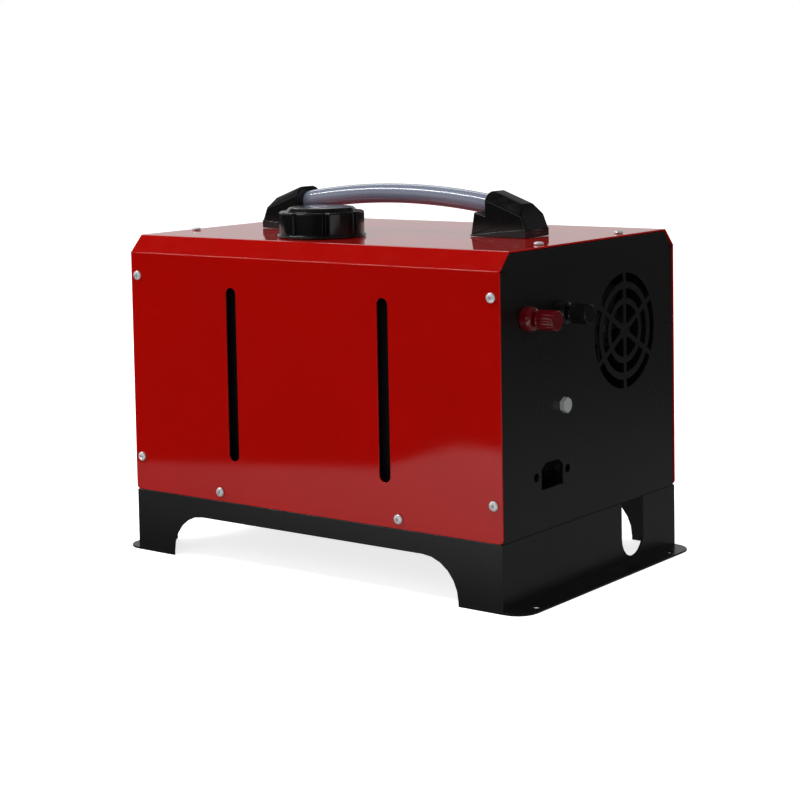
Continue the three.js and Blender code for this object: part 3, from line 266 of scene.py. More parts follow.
# A colour as seen on screen, 0 to 255, as a linear one with alpha.
def tint(color):
    linear = [v / 12.92 if v <= 0.04045 else ((v + 0.055) / 1.055) ** 2.4
              for v in (part / 255 for part in color)]
    return (*linear, 1.0)


def addNode(tree, kind, inputs=None, **settings):
    node = tree.nodes.new(kind)
    for name, value in settings.items():
        setattr(node, name, value)
    for name, value in (inputs or {}).items():
        if isinstance(value, bpy.types.NodeSocket):
            tree.links.new(value, node.inputs[name])
        else:
            node.inputs[name].default_value = value
    return node


def calculate(tree, operation, first, second=0.0, clamp=False):
    return addNode(tree, "ShaderNodeMath", {0: first, 1: second}, operation=operation,
                   use_clamp=clamp).outputs[0]


def times(tree, first, second, clamp=False):
    return calculate(tree, "MULTIPLY", first, second, clamp)


def noise(tree, place, scale, detail, roughness=0.5):
    return addNode(tree, "ShaderNodeTexNoise", {"Vector": place, "Scale": scale, "Detail": detail,
                                                "Roughness": roughness}).outputs["Fac"]


def mixColors(tree, factor, first, second):
    return addNode(tree, "ShaderNodeMix", {0: factor, 6: first, 7: second}, data_type="RGBA").outputs[2]


def remap(tree, value, low, high, toLow=0.0, toHigh=1.0):
    return addNode(tree, "ShaderNodeMapRange",
                   {"Value": value, "From Min": low, "From Max": high, "To Min": toLow, "To Max": toHigh},
                   interpolation_type="SMOOTHSTEP").outputs["Result"]


def effectGroup(name, inputs, outputs, build):
    group = bpy.data.node_groups.new(name, "ShaderNodeTree")
    for label, value in inputs.items():
        kind = "NodeSocketColor" if isinstance(value, tuple) else "NodeSocketFloat"
        group.interface.new_socket(label, in_out="INPUT", socket_type=kind).default_value = value
    for label, kind in outputs.items():
        group.interface.new_socket(label, in_out="OUTPUT", socket_type=kind)
    entry = group.nodes.new("NodeGroupInput").outputs
    leave = group.nodes.new("NodeGroupOutput").inputs
    for label, socket in build(group, entry).items():
        group.links.new(socket, leave[label])
    return group


# Fine bumps, and slow drift, of a painted or moulded skin. Size is in millimetres.
def buildGrain(tree, entry):
    place = addNode(tree, "ShaderNodeTexCoord").outputs["Object"]
    scale = calculate(tree, "DIVIDE", 1000.0, entry["Size"])
    return {"Height": noise(tree, place, scale, 3.0, 0.55), "Drift": noise(tree, place, 14.0, 4.0, 0.6)}


# Where the rounded edges of a piece are worn or chipped.
def buildRimWear(tree, entry):
    rim = addNode(tree, "ShaderNodeAttribute", attribute_name="rim").outputs["Fac"]
    place = addNode(tree, "ShaderNodeTexCoord").outputs["Object"]
    chips = noise(tree, place, 330.0, 5.0, 0.7)
    patches = noise(tree, place, 23.0, 2.0)
    level = calculate(tree, "SUBTRACT", 0.84, times(tree, entry["Amount"], 0.36))
    both = calculate(tree, "ADD", times(tree, chips, 0.7), times(tree, patches, 0.5))
    spots = remap(tree, both, level, calculate(tree, "ADD", level, 0.03))
    return {"Mask": times(tree, spots, rim, True)}


# Hair-thin handling marks that run one way with some wander.
def buildScuffs(tree, entry):
    place = addNode(tree, "ShaderNodeTexCoord").outputs["Object"]
    bent = addNode(tree, "ShaderNodeMapping",
                   {"Vector": place, "Rotation": (0.5, 0.35, 0.6), "Scale": (900.0, 900.0, 16.0)})
    hairs = noise(tree, bent.outputs["Vector"], 1.0, 1.0)
    zones = noise(tree, place, 18.0, 3.0)
    level = calculate(tree, "SUBTRACT", 0.82, times(tree, entry["Amount"], 0.2))
    lines = remap(tree, hairs, level, calculate(tree, "ADD", level, 0.05))
    return {"Mask": times(tree, lines, remap(tree, zones, 0.55, 0.7), True)}


# A thin film on what faces up, thicker in patches.
def buildDust(tree, entry):
    normal = addNode(tree, "ShaderNodeNewGeometry").outputs["Normal"]
    up = addNode(tree, "ShaderNodeSeparateXYZ", {"Vector": normal}).outputs["Z"]
    place = addNode(tree, "ShaderNodeTexCoord").outputs["Object"]
    film = noise(tree, place, 60.0, 6.0, 0.65)
    facing = remap(tree, up, 0.3, 1.0)
    amount = times(tree, remap(tree, film, 0.4, 0.75), entry["Amount"])
    return {"Mask": times(tree, amount, facing, True)}


floatSocket = "NodeSocketFloat"
effects = {
    "grain": effectGroup("skinGrain", {"Size": 1.0}, {"Height": floatSocket, "Drift": floatSocket},
                         buildGrain),
    "rim": effectGroup("rimWear", {"Amount": 0.5}, {"Mask": floatSocket}, buildRimWear),
    "scuffs": effectGroup("hairScuffs", {"Amount": 0.5}, {"Mask": floatSocket}, buildScuffs),
    "dust": effectGroup("restingDust", {"Amount": 0.1}, {"Mask": floatSocket}, buildDust),
}


def useEffect(tree, name, **values):
    node = addNode(tree, "ShaderNodeGroup")
    node.node_tree = effects[name]
    for label, value in values.items():
        node.inputs[label].default_value = value
    return node.outputs


dustColor = (150, 146, 140)
scuffRoughness, dustRoughness = 0.18, 0.5
scuffDepth, chipDepth = 0.15, 0.6  # shares of the grain's depth


# A painted, moulded or metal skin from its settings.
def skinMaterial(name, look):
    material = bpy.data.materials.new(name)
    material.use_nodes = True
    tree = material.node_tree
    shader = tree.nodes["Principled BSDF"]
    grain = useEffect(tree, "grain", Size=look["grain"])
    rim = useEffect(tree, "rim", Amount=look.get("wear", 0.0))["Mask"]
    scuffs = useEffect(tree, "scuffs", Amount=look["scuffs"])["Mask"]
    dust = useEffect(tree, "dust", Amount=look["dust"])["Mask"]
    drift = remap(tree, grain["Drift"], 0.3, 0.7)
    color = mixColors(tree, drift, tint(look["color"]), tint(look["shade"]))
    color = mixColors(tree, dust, color, tint(dustColor))
    color = mixColors(tree, rim, color, tint(look.get("bare", look["color"])))
    rough = remap(tree, grain["Drift"], 0.25, 0.75, look["roughness"] - look["spread"],
                  look["roughness"] + look["spread"])
    rough = calculate(tree, "ADD", rough, times(tree, scuffs, scuffRoughness))
    rough = calculate(tree, "ADD", rough, times(tree, dust, dustRoughness), True)
    height = calculate(tree, "SUBTRACT", grain["Height"], times(tree, scuffs, scuffDepth))
    height = calculate(tree, "SUBTRACT", height, times(tree, rim, chipDepth))
    bump = addNode(tree, "ShaderNodeBump", {"Height": height, "Strength": 1.0,
                                            "Distance": look["depth"] / 1000})
    tree.links.new(color, shader.inputs["Base Color"])
    tree.links.new(rough, shader.inputs["Roughness"])
    tree.links.new(bump.outputs["Normal"], shader.inputs["Normal"])
    shader.inputs["Metallic"].default_value = look.get("metallic", 0.0)
    shader.inputs["Coat Weight"].default_value = look.get("coat", 0.0)
    shader.inputs["Coat Roughness"].default_value = look.get("coatRoughness", 0.1)
    shader.inputs["Subsurface Weight"].default_value = look.get("milk", 0.0)
    shader.inputs["Subsurface Scale"].default_value = 0.002
    return material


materialLooks = {
    "red_paint": {
        "color": (158, 8, 4), "shade": (154, 7, 3), "bare": (226, 168, 158), "roughness": 0.06,
        "spread": 0.012, "grain": 1.7, "depth": 0.013, "wear": 0.22, "scuffs": 0.15, "dust": 0.015,
    },
    "black_paint": {
        "color": (14, 14, 14), "shade": (12, 13, 13), "bare": (60, 62, 62), "roughness": 0.3,
        "spread": 0.04, "grain": 0.9, "depth": 0.010, "wear": 0.12, "scuffs": 0.3, "dust": 0.012,
    },
    "chrome_steel": {
        "color": (238, 238, 240), "shade": (222, 223, 226), "roughness": 0.28, "spread": 0.05,
        "grain": 1.2, "depth": 0.004, "metallic": 0.6, "scuffs": 0.5, "dust": 0.0,
    },
    "zinc_steel": {
        "color": (196, 200, 198), "shade": (168, 173, 174), "roughness": 0.27, "spread": 0.07,
        "grain": 0.8, "depth": 0.006, "metallic": 0.5, "scuffs": 0.6, "dust": 0.02,
    },
    "brass": {
        "color": (201, 166, 92), "shade": (176, 138, 66), "roughness": 0.26, "spread": 0.06,
        "grain": 0.7, "depth": 0.005, "metallic": 1.0, "scuffs": 0.4, "dust": 0.0,
    },
    "bare_steel": {
        "color": (168, 170, 173), "shade": (138, 140, 144), "roughness": 0.36, "spread": 0.08,
        "grain": 0.5, "depth": 0.008, "metallic": 1.0, "scuffs": 0.7, "dust": 0.05,
    },
    "cast_aluminium": {
        "color": (166, 168, 170), "shade": (134, 136, 138), "roughness": 0.5, "spread": 0.08,
        "grain": 0.6, "depth": 0.06, "metallic": 1.0, "scuffs": 0.2, "dust": 0.08,
    },
    "gloss_black": {
        "color": (13, 13, 14), "shade": (10, 10, 11), "bare": (74, 80, 80), "roughness": 0.13,
        "spread": 0.03, "grain": 3.5, "depth": 0.012, "wear": 0.1, "scuffs": 0.5, "dust": 0.05,
    },
    "matt_black": {
        "color": (30, 31, 32), "shade": (25, 26, 27), "bare": (60, 62, 63), "roughness": 0.5,
        "spread": 0.06, "grain": 0.5, "depth": 0.02, "wear": 0.1, "scuffs": 0.3, "dust": 0.06,
    },
    "red_plastic": {
        "color": (84, 4, 11), "shade": (62, 2, 7), "bare": (190, 90, 96), "roughness": 0.1,
        "spread": 0.03, "grain": 2.5, "depth": 0.006, "wear": 0.1, "scuffs": 0.2, "dust": 0.05,
        "coat": 0.5, "coatRoughness": 0.06,
    },
    "grey_hose": {
        "color": (122, 129, 146), "shade": (113, 120, 138), "bare": (160, 166, 180), "roughness": 0.2,
        "spread": 0.04, "grain": 3.0, "depth": 0.012, "scuffs": 0.3, "dust": 0.03, "coat": 0.6,
        "coatRoughness": 0.12, "milk": 0.15,
    },
    "tank_plastic": {
        "color": (24, 24, 25), "shade": (20, 20, 21), "roughness": 0.42, "spread": 0.06, "grain": 1.0,
        "depth": 0.03, "scuffs": 0.3, "dust": 0.08,
    },
    "rubber": {
        "color": (22, 22, 22), "shade": (28, 28, 27), "roughness": 0.7, "spread": 0.08, "grain": 0.4,
        "depth": 0.03, "scuffs": 0.2, "dust": 0.12,
    },
    "button_plastic": {
        "color": (44, 47, 50), "shade": (38, 41, 44), "roughness": 0.45, "spread": 0.05, "grain": 0.4,
        "depth": 0.015, "scuffs": 0.2, "dust": 0.04,
    },
    "screen_glass": {
        "color": (14, 22, 30), "shade": (11, 18, 26), "roughness": 0.06, "spread": 0.02, "grain": 8.0,
        "depth": 0.002, "scuffs": 0.25, "dust": 0.02, "coat": 0.6, "coatRoughness": 0.03,
    },
}
materials = {slot: skinMaterial(slot, look) for slot, look in materialLooks.items()}
print("materials made:", len(materials))


# X and Z of the screws of the front, which the back repeats; X and Y of those of the top.
frontScrewPlaces = {
    "left_high": (-164.2, 214.6), "left_low": (-164.2, 73.8), "left_inner": (-83.6, 54.9),
    "right_high": (164.2, 214.6), "right_low": (164.2, 73.8), "right_inner": (83.6, 54.9),
}
topScrewPlaces = {
    "left_front": (-161.0, -54.0), "left_rear": (-161.0, 54.0),
    "right_front": (161.0, -54.0), "right_rear": (161.0, 54.0),
}

coverSettings = {
    "foldOffset": 1.1, "foldSteps": 5, "foldWear": 0.35,
    "shoulderOffset": 0.3, "shoulderSteps": 3, "shoulderWear": 0.12, "corner": 3.0,
    "slots": (-69.2, 72.0), "slotHalf": 5.0, "slotFoot": 79.5, "slotTop": 209.6,
    "screwHole": 2.2, "filler": (-27.0, -61.0), "fillerHole": 24.9, "edge": 0.22,
}
cutPast = 3  # how far a cutter reaches past the face that it opens


# Corners of the case's section, inset under its skin.
def caseSection(inset, foot):
    slope = math.hypot(caseValue("slopeDrop"), caseValue("slopeRun"))
    shoulder = inset * (slope - caseValue("slopeDrop")) / caseValue("slopeRun")
    brow = inset * (slope - caseValue("slopeRun")) / caseValue("slopeDrop")
    side = caseValue("halfDepth") - inset
    high = caseValue("top") - caseValue("slopeDrop") - shoulder
    browY = caseValue("halfDepth") - caseValue("slopeRun") - brow
    top = caseValue("top") - inset
    return [(-side, foot), (-side, high), (-browY, top), (browY, top), (side, high), (side, foot)]


# A round-ended slot as one face.
def stadium(halfWidth, low, high, steps=32):
    bm = bmesh.new()
    bmesh.ops.create_circle(bm, cap_ends=True, segments=steps, radius=halfWidth)
    upper = [v for v in bm.verts if v.co.y > 0.01]
    lower = [v for v in bm.verts if v.co.y <= 0.01]
    bmesh.ops.translate(bm, verts=upper, vec=(0, high - halfWidth, 0))
    bmesh.ops.translate(bm, verts=lower, vec=(0, low + halfWidth, 0))
    return bm


def screwHoles(radius):
    reach = caseValue("halfDepth") + cutPast
    holes = [rod(radius, -reach, reach, "Y", x, z, 20) for x, z in frontScrewPlaces.values()]
    top = caseValue("top")
    return holes + [rod(radius, top - 30, top + cutPast, "Z", x, y, 20) for x, y in topScrewPlaces.values()]


def makeCover(settings):
    half = caseValue("halfLength")
    bm = bmesh.new()
    verts = [bm.verts.new((-half, y, z)) for y, z in caseSection(0, caseValue("foot"))]
    edges = [bm.edges.new(pair) for pair in zip(verts, verts[1:])]
    bmesh.ops.translate(bm, vec=(2 * half, 0, 0), verts=[
        v for v in bmesh.ops.extrude_edge_only(bm, edges=edges)["geom"]
        if isinstance(v, bmesh.types.BMVert)])
    corners = [v for v in bm.verts if v.co.z < caseValue("foot") + 0.1]
    bmesh.ops.bevel(bm, geom=corners, offset=settings["corner"], offset_type="OFFSET", segments=5,
                    profile=0.5, affect="VERTICES", clamp_overlap=True, material=-1)
    brows = [e for e in bm.edges if len(e.link_faces) == 2 and e.verts[0].co.z > caseValue("top") - 1]
    roundOff(bm, brows, settings["foldOffset"], settings["foldSteps"], settings["foldWear"])
    shoulder = caseValue("top") - caseValue("slopeDrop")
    shoulders = [e for e in bm.edges if len(e.link_faces) == 2
                 and max(abs(v.co.z - shoulder) for v in e.verts) < 0.01]
    roundOff(bm, shoulders, settings["shoulderOffset"], settings["shoulderSteps"],
             settings["shoulderWear"])
    bm = thickened(bm, caseValue("sheet"))
    reach = caseValue("halfDepth") + cutPast
    slots = []
    for middle in settings["slots"]:
        slot = stadium(settings["slotHalf"], settings["slotFoot"], settings["slotTop"])
        slots.append(drawnOut(moved(slot, x=middle), -reach, reach, "Y"))
    filler = rod(settings["fillerHole"], caseValue("top") - 14, caseValue("top") + cutPast, "Z",
                 *settings["filler"], 64)
    return carved(bm, *slots, filler, *screwHoles(settings["screwHole"]))


# Gives an open skin its thickness on the inner side.
def thickened(bm, thickness):
    bmesh.ops.recalc_face_normals(bm, faces=bm.faces[:])
    middle = Vector((0, caseValue("ductY"), 150))
    outward = sum((f.normal.dot(f.calc_center_median() - middle) * f.calc_area() for f in bm.faces))
    if outward < 0:
        bmesh.ops.reverse_faces(bm, faces=bm.faces[:])
    bmesh.ops.solidify(bm, geom=bm.faces[:], thickness=thickness)
    return tidyNormals(bm)


finished("coverShell", makeCover(coverSettings), "red_paint", "case", "cover",
         edge=coverSettings["edge"])
print("cover made")


panelSettings = {
    "sheet": 1.2, "lip": 14.0, "inset": 1.5, "bendOffset": 1.1, "bendSteps": 4, "lipFoot": 49.5,
    "screwHole": 2.2, "edge": 0,
    "grille": [(6.5, 19.5), (24.0, 31.0), (36.0, 42.5)], "spoke": 4.0, "spokes": 3,
    "inlet": {"y": -54.9, "foot": 76.2, "width": 27.5, "height": 18.6, "run": 6.0, "drop": 4.0,
              "corner": 0.8, "holes": 40.0, "hole": 3.2, "holeRise": 10.0},
    "terminals": {"red": -86.5, "black": -44.5}, "terminalZ": 197.6, "terminalHole": 4.3,
    "bolt": (-40.0, 132.0), "boltHole": 3.3,
    "outletHole": 37.8, "controllerHole": (-97.3, -16.7, 181.7, 214.3),
    "controllerCorner": 3.0,
}


# The right-hand panel: a face with its rim folded inwards. The left one is its mirror.
def makeTray(settings):
    face = caseValue("panelFace")
    bm = flatShape(caseSection(settings["inset"], caseValue("foot")))
    moved(placed(bm, drawnAlong["X"]), face)
    rimEdges = [e for e in bm.edges if max(v.co.z for v in e.verts) > caseValue("foot") + 1]
    made = bmesh.ops.extrude_edge_only(bm, edges=rimEdges)["geom"]
    bmesh.ops.translate(bm, verts=[v for v in made if isinstance(v, bmesh.types.BMVert)],
                        vec=(-settings["lip"], 0, 0))
    for vert in bm.verts:
        if vert.co.x < face - 1 and vert.co.z < settings["lipFoot"]:
            vert.co.z = settings["lipFoot"]
    folds = [e for e in bm.edges if len(e.link_faces) == 2]
    bmesh.ops.bevel(bm, geom=folds, offset=settings["bendOffset"], offset_type="OFFSET",
                    segments=settings["bendSteps"], profile=0.5, affect="EDGES",
                    clamp_overlap=False, material=-1, loop_slide=True)
    return thickened(bm, settings["sheet"])


# The fold along a panel's foot, which lies on the floor pan.
def panelShelf(settings):
    face, half = caseValue("panelFace"), caseValue("halfDepth") - settings["inset"] - settings["sheet"] / 2
    return box(face - settings["lip"], face - settings["sheet"] / 2, -half, half,
               settings["lipFoot"], settings["lipFoot"] + settings["sheet"])


def ringPrism(inner, outer, start, end, y, z, steps=72):
    return turned([(inner, start), (outer, start), (outer, end), (inner, end)], "right", (0, y, z),
                  steps, closed=True)


def grilleOpenings(settings, start, end):
    y, z = caseValue("ductY"), caseValue("ductZ")
    rings = together(*[ringPrism(inner, outer, start, end, y, z) for inner, outer in settings["grille"]])
    reach = settings["grille"][-1][1] + 3
    for number in range(settings["spokes"]):
        bar = box(start - 1, end + 1, -settings["spoke"] / 2, settings["spoke"] / 2, -reach, reach)
        turn = Matrix.Rotation(number * math.pi / settings["spokes"], 4, "X")
        rings = combined(rings, placed(bar, Matrix.Translation((0, y, z)) @ turn), "DIFFERENCE")
    return rings


def rightPanelOpenings(settings):
    start, end = caseValue("panelFace") - 5, caseValue("panelFace") + cutPast
    inlet = settings["inlet"]
    left, right = inlet["y"] - inlet["width"] / 2, inlet["y"] + inlet["width"] / 2
    foot, top = inlet["foot"], inlet["foot"] + inlet["height"]
    opening = prism([(left, foot), (right, foot), (right, top - inlet["drop"]),
                     (right - inlet["run"], top), (left + inlet["run"], top), (left, top - inlet["drop"])],
                    start, end, "X", inlet["corner"], 3)
    holes = [rod(inlet["hole"], start, end, "X", inlet["y"] + side * inlet["holes"] / 2,
                 foot + inlet["holeRise"], 20) for side in (-1, 1)]
    holes += [rod(settings["terminalHole"], start, end, "X", y, settings["terminalZ"], 24)
              for y in settings["terminals"].values()]
    holes.append(rod(settings["boltHole"], start, end, "X", *settings["bolt"], 24))
    return [opening, grilleOpenings(settings, start, end), *holes]


def leftPanelOpenings(settings):
    start, end = -caseValue("panelFace") - cutPast, -caseValue("panelFace") + 5
    y0, y1, z0, z1 = settings["controllerHole"]
    controller = prism([(y0, z0), (y1, z0), (y1, z1), (y0, z1)], start, end, "X",
                       settings["controllerCorner"])
    return [controller, rod(settings["outletHole"], start, end, "X", caseValue("ductY"),
                            caseValue("ductZ"), 72)]


def mirrored(bm):
    bmesh.ops.scale(bm, vec=(-1, 1, 1), verts=bm.verts[:])
    bmesh.ops.reverse_faces(bm, faces=bm.faces[:])
    return bm


screwHole = panelSettings["screwHole"]
rightPanel = carved(makeTray(panelSettings), *rightPanelOpenings(panelSettings), *screwHoles(screwHole))
rightPanel = together(rightPanel, panelShelf(panelSettings))
finished("rightPanelFace", rightPanel, "black_paint", "case", "right_panel",
         edge=panelSettings["edge"])
leftPanel = carved(mirrored(makeTray(panelSettings)), *leftPanelOpenings(panelSettings),
                   *screwHoles(screwHole))
leftPanel = together(leftPanel, mirrored(panelShelf(panelSettings)))
finished("leftPanelFace", leftPanel, "black_paint", "case", "left_panel",
         edge=panelSettings["edge"])
print("panels made")

finished("floorPanSheet", copyOf("floor_pan"), "black_paint", "case",
         "floor_pan", edge=0.2)
finished("standFrame", copyOf("stand"), "black_paint", "case", "stand",
         edge=0.35)
print("stand made")


screwSettings = {
    "headRadius": 3.55, "headHeight": 2.0, "headBrim": 0.55, "shank": 1.75, "thread": 1.9,
    "length": 7.6, "pitch": 0.8, "leastTurn": 0.2, "mostTurn": 1.4,
    "recessWidth": 1.2, "recessReach": 2.35, "recessDepth": 1.65, "edge": 0.06,
}


# A domed head over a threaded shank, with a cross recess. It points up.
def makeScrew(settings):
    gap = caseValue("gap")
    radius, height, brim = settings["headRadius"], settings["headHeight"], settings["headBrim"]
    dome = [(0, gap + height)]
    for step in range(1, 8):
        angle = math.radians(90 - step * 11)
        dome.append((radius * math.cos(angle), gap + brim + (height - brim) * math.sin(angle)))
    profile = dome + [(radius, gap + 0.45), (radius - 0.15, gap), (settings["shank"], gap)]
    down = gap - 1.2
    while down > -settings["length"] + settings["pitch"]:
        profile += [(settings["shank"], down), (settings["thread"], down - settings["pitch"] / 2)]
        down -= settings["pitch"]
    profile += [(settings["shank"], down), (0, down - 0.5)]
    body = turned(profile, steps=32)
    top = gap + height + 0.4
    bottom = gap + height - settings["recessDepth"]
    wings = []
    for turn in (0, math.pi / 2):
        wide, half = settings["recessReach"], settings["recessWidth"] / 2
        wing = prism([(-wide, top), (-0.35, bottom), (0.35, bottom), (wide, top)], -half, half, "Y")
        bmesh.ops.rotate(wing, cent=(0, 0, 0), matrix=Matrix.Rotation(turn, 3, "Z"), verts=wing.verts[:])
        wings.append(wing)
    return carved(carved(body, wings[0]), wings[1])


def placedScrews(settings):
    random.seed(11)
    screw = makeScrew(settings)
    places = []
    for label, (x, z) in frontScrewPlaces.items():
        places.append((f"front_{label}", "front", (x, -caseValue("halfDepth"), z)))
        places.append((f"back_{label}", "back", (x, caseValue("halfDepth"), z)))
    for label, (x, y) in topScrewPlaces.items():
        places.append((f"top_{label}", "up", (x, y, caseValue("top"))))
    for label, direction, place in places:
        turn = Matrix.Rotation(random.uniform(settings["leastTurn"], settings["mostTurn"]), 4, "Z")
        bm = placed(screw.copy(), Matrix.Translation(place) @ pointed[direction] @ turn)
        finished(f"coverScrew_{label}", bm, "chrome_steel", "case",
                 f"screw_{label}", edge=settings["edge"], angle=50)
    screw.free()


placedScrews(screwSettings)
print("screws made")


handleSettings = {
    "rise": 29.5, "sag": 7.3, "mouth": 89.0, "endDepth": 12.0, "hose": 7.45, "bore": 4.5, "slack": 0.3,
    "steps": 56, "ring": 40,
    "bracket": {
        "width": 31.0, "length": 36.0, "lip": 12.5, "lipHeight": 18.2, "lipFall": 2.4, "lipSlant": 3.0,
        "height": 33.6, "brow": 2.0, "browDrop": 1.5, "noseLow": 6.4, "noseMid": 16.2, "noseTop": 24.0,
        "noseMidIn": 4.0, "noseTopIn": 8.0, "flat": 15.0, "bevelDrop": 6.7, "edge": 1.1,
        "footStep": 0.4, "footLow": 1.2, "footHigh": 6.4,
    },
}


# The hose bent to an arc through its middle and its mouths.
def hoseArc(settings, radius, bore, extra):
    bend = (settings["mouth"] ** 2 + settings["sag"] ** 2) / (2 * settings["sag"])
    top = caseValue("top") + settings["rise"]
    half = math.asin((settings["mouth"] + settings["endDepth"] + extra) / bend)
    bm = bmesh.new()
    bmesh.ops.create_circle(bm, cap_ends=not bore, segments=settings["ring"], radius=radius)
    if bore:
        bmesh.ops.create_circle(bm, cap_ends=False, segments=settings["ring"], radius=bore)
        bmesh.ops.bridge_loops(bm, edges=bm.edges[:])
    placed(bm, Matrix.Translation((0, 0, top)) @ pointed["right"])
    centre = (0, 0, top - bend)
    bmesh.ops.rotate(bm, cent=centre, matrix=Matrix.Rotation(-half, 3, "Y"), verts=bm.verts[:])
    bmesh.ops.spin(bm, geom=bm.faces[:] + bm.edges[:] + bm.verts[:], cent=centre, axis=(0, 1, 0),
                   angle=2 * half, steps=settings["steps"], use_merge=False)
    return tidyNormals(bm)


def makeBracket(settings):
    part = settings["bracket"]
    top, mouth, half = caseValue("top"), settings["mouth"], part["width"] / 2
    outer = mouth + part["length"]
    ridgeStart, ridgeEnd = mouth + part["brow"], outer - part["noseTopIn"]
    profile = [
        (mouth - part["lip"], top + 0.3), (outer, top + 0.3), (outer, top + part["noseLow"]),
        (outer - part["noseMidIn"], top + part["noseMid"]), (ridgeEnd, top + part["noseTop"]),
        (ridgeStart, top + part["height"]), (mouth, top + part["height"] - part["browDrop"]),
        (mouth, top + part["lipHeight"] - part["lipFall"]),
        (mouth - part["lip"] + part["lipSlant"], top + part["lipHeight"]),
    ]
    step = half - part["footStep"]
    bm = prism(profile, -step, step, "Y")
    fall = (part["height"] - part["noseTop"]) / (ridgeEnd - ridgeStart)
    steep = part["bevelDrop"] / (half - part["flat"] / 2)
    for side in (-1, 1):
        bmesh.ops.bisect_plane(bm, geom=bm.verts[:] + bm.edges[:] + bm.faces[:], dist=0.0001,
                               plane_co=(ridgeStart, side * part["flat"] / 2, top + part["height"]),
                               plane_no=Vector((fall, side * steep, 1)).normalized(), clear_outer=True)
        bmesh.ops.holes_fill(bm, edges=[e for e in bm.edges if len(e.link_faces) == 1])
    bmesh.ops.recalc_face_normals(bm, faces=bm.faces[:])
    softenEdges(bm, part["edge"], 3, 14)
    foot = prism([(mouth - part["lip"], top + 0.3), (outer, top + 0.3), (outer, top + part["footHigh"]),
                  (mouth - part["lip"], top + part["footLow"])], -half, half, "Y", 0.3, 2)
    bm = joined(bm, foot)
    return carved(bm, hoseArc(settings, settings["hose"] + settings["slack"], 0, settings["slack"]))


finished("carryHose", hoseArc(handleSettings, handleSettings["hose"], handleSettings["bore"], 0),
         "grey_hose", "case", "handle_grip", edge=0.5)
finished("gripBracket_right", makeBracket(handleSettings), "gloss_black",
         "case", "handle_bracket_right", edge=0.25, angle=50)
finished("gripBracket_left", mirrored(makeBracket(handleSettings)), "gloss_black", "case",
         "handle_bracket_left", edge=0.25, angle=50)
print("handle made")


capSettings = {
    "x": -27.0, "y": -61.0, "radius": 32.0, "flange": 33.2, "flangeHeight": 2.6, "height": 19.0,
    "grooves": 8, "grooveDepth": 2.6, "grooveReach": 0.1, "steps": 9,
    "disc": 25.5, "discRise": 3.0, "bore": 24.5, "boreTop": 261.6, "softRim": 1.3, "rimWear": 0.6,
    "gasket": (14.0, 24.0, 259.3, 261.3),
}


# Broad lobes with a narrow groove between each two.
def lobedOutline(settings):
    points = []
    pitch = 2 * math.pi / settings["grooves"]
    reach = settings["grooveReach"]
    for lobe in range(settings["grooves"]):
        for part in (-0.75, -0.4, 0.0, 0.4, 0.75):
            depth = settings["grooveDepth"] * math.cos(part * math.pi / 2) ** 1.3
            radius = settings["radius"] - depth
            angle = pitch * (lobe + part * reach)
            points.append((radius * math.cos(angle), radius * math.sin(angle)))
        for step in range(settings["steps"] + 1):
            angle = pitch * (lobe + reach + (1 - 2 * reach) * step / settings["steps"])
            points.append((settings["radius"] * math.cos(angle), settings["radius"] * math.sin(angle)))
    return points


def makeCap(settings):
    foot = caseValue("top") + caseValue("gap")
    shoulder, top = foot + settings["flangeHeight"], foot + settings["height"]
    body = prism(lobedOutline(settings), foot + 0.6, top, "Z")
    upper = [e for e in body.edges if min(v.co.z for v in e.verts) > top - 0.01]
    roundOff(body, upper, settings["softRim"], 4, settings["rimWear"], True)
    flange = turned([(0, foot), (settings["flange"] - 0.4, foot), (settings["flange"], foot + 0.4),
                     (settings["flange"], shoulder - 0.9), (settings["flange"] - 0.3, shoulder - 0.3),
                     (settings["flange"] - 1.0, shoulder), (0, shoulder)], steps=96)
    disc, rise = settings["disc"], settings["discRise"]
    plate = turned([(0, top - 1), (disc + 1.2, top - 1), (disc + 1.2, top + 0.2), (disc + 0.3, top + 1.0),
                    (disc - 0.9, top + 2.4), (disc - 1.6, top + rise - 0.15), (disc - 2.3, top + rise),
                    (0, top + rise)], steps=96)
    bore = rod(settings["bore"], foot - 2, settings["boreTop"], "Z", 0, 0, 72)
    whole = carved(joined(body, flange, plate), bore)
    return moved(whole, settings["x"], settings["y"])


def makeGasket(settings):
    inner, outer, low, high = settings["gasket"]
    ring = turned([(inner, low), (outer - 0.3, low), (outer, low + 0.4), (outer, high - 0.4),
                   (outer - 0.3, high), (inner, high)], steps=64, closed=True)
    return moved(ring, settings["x"], settings["y"])


finished("fillerCap", makeCap(capSettings), "gloss_black", "cap", "tank_cap",
         edge=0.25, angle=40, crease=38)
finished("fillerGasket", makeGasket(capSettings), "rubber", "cap_seal",
         "cap_gasket", edge=0.1)
print("cap made")


terminalSettings = {
    "z": 197.6, "places": {"red": -86.5, "black": -44.5}, "foot": 170.8, "end": 179.8, "radius": 8.5,
    "neck": 4.0, "neckEnd": 159.3, "stud": 2.0, "studStart": 147.3, "studEnd": 191.7, "pitch": 0.7,
    "knobStart": 182.0, "knobEnd": 196.4, "knob": 7.0, "flutes": 16, "fluteDepth": 0.5,
    "knobBore": 192.0, "slack": 0.3,
    "bolt": (-40.0, 132.0), "boltFlats": 10.0, "boltHead": 4.0, "boltShank": 3.0, "boltEnd": 158.8,
    "boltPitch": 1.0,
}


# Radius and height pairs of a threaded rod.
def threaded(radius, depth, start, end, pitch):
    profile, place = [(0, start), (radius - depth, start)], start + pitch * 0.6
    while place < end - pitch:
        profile += [(radius - depth, place), (radius, place + pitch * 0.5)]
        place += pitch
    return [*profile, (radius - depth, end - 0.3), (radius - depth - 0.4, end), (0, end)]


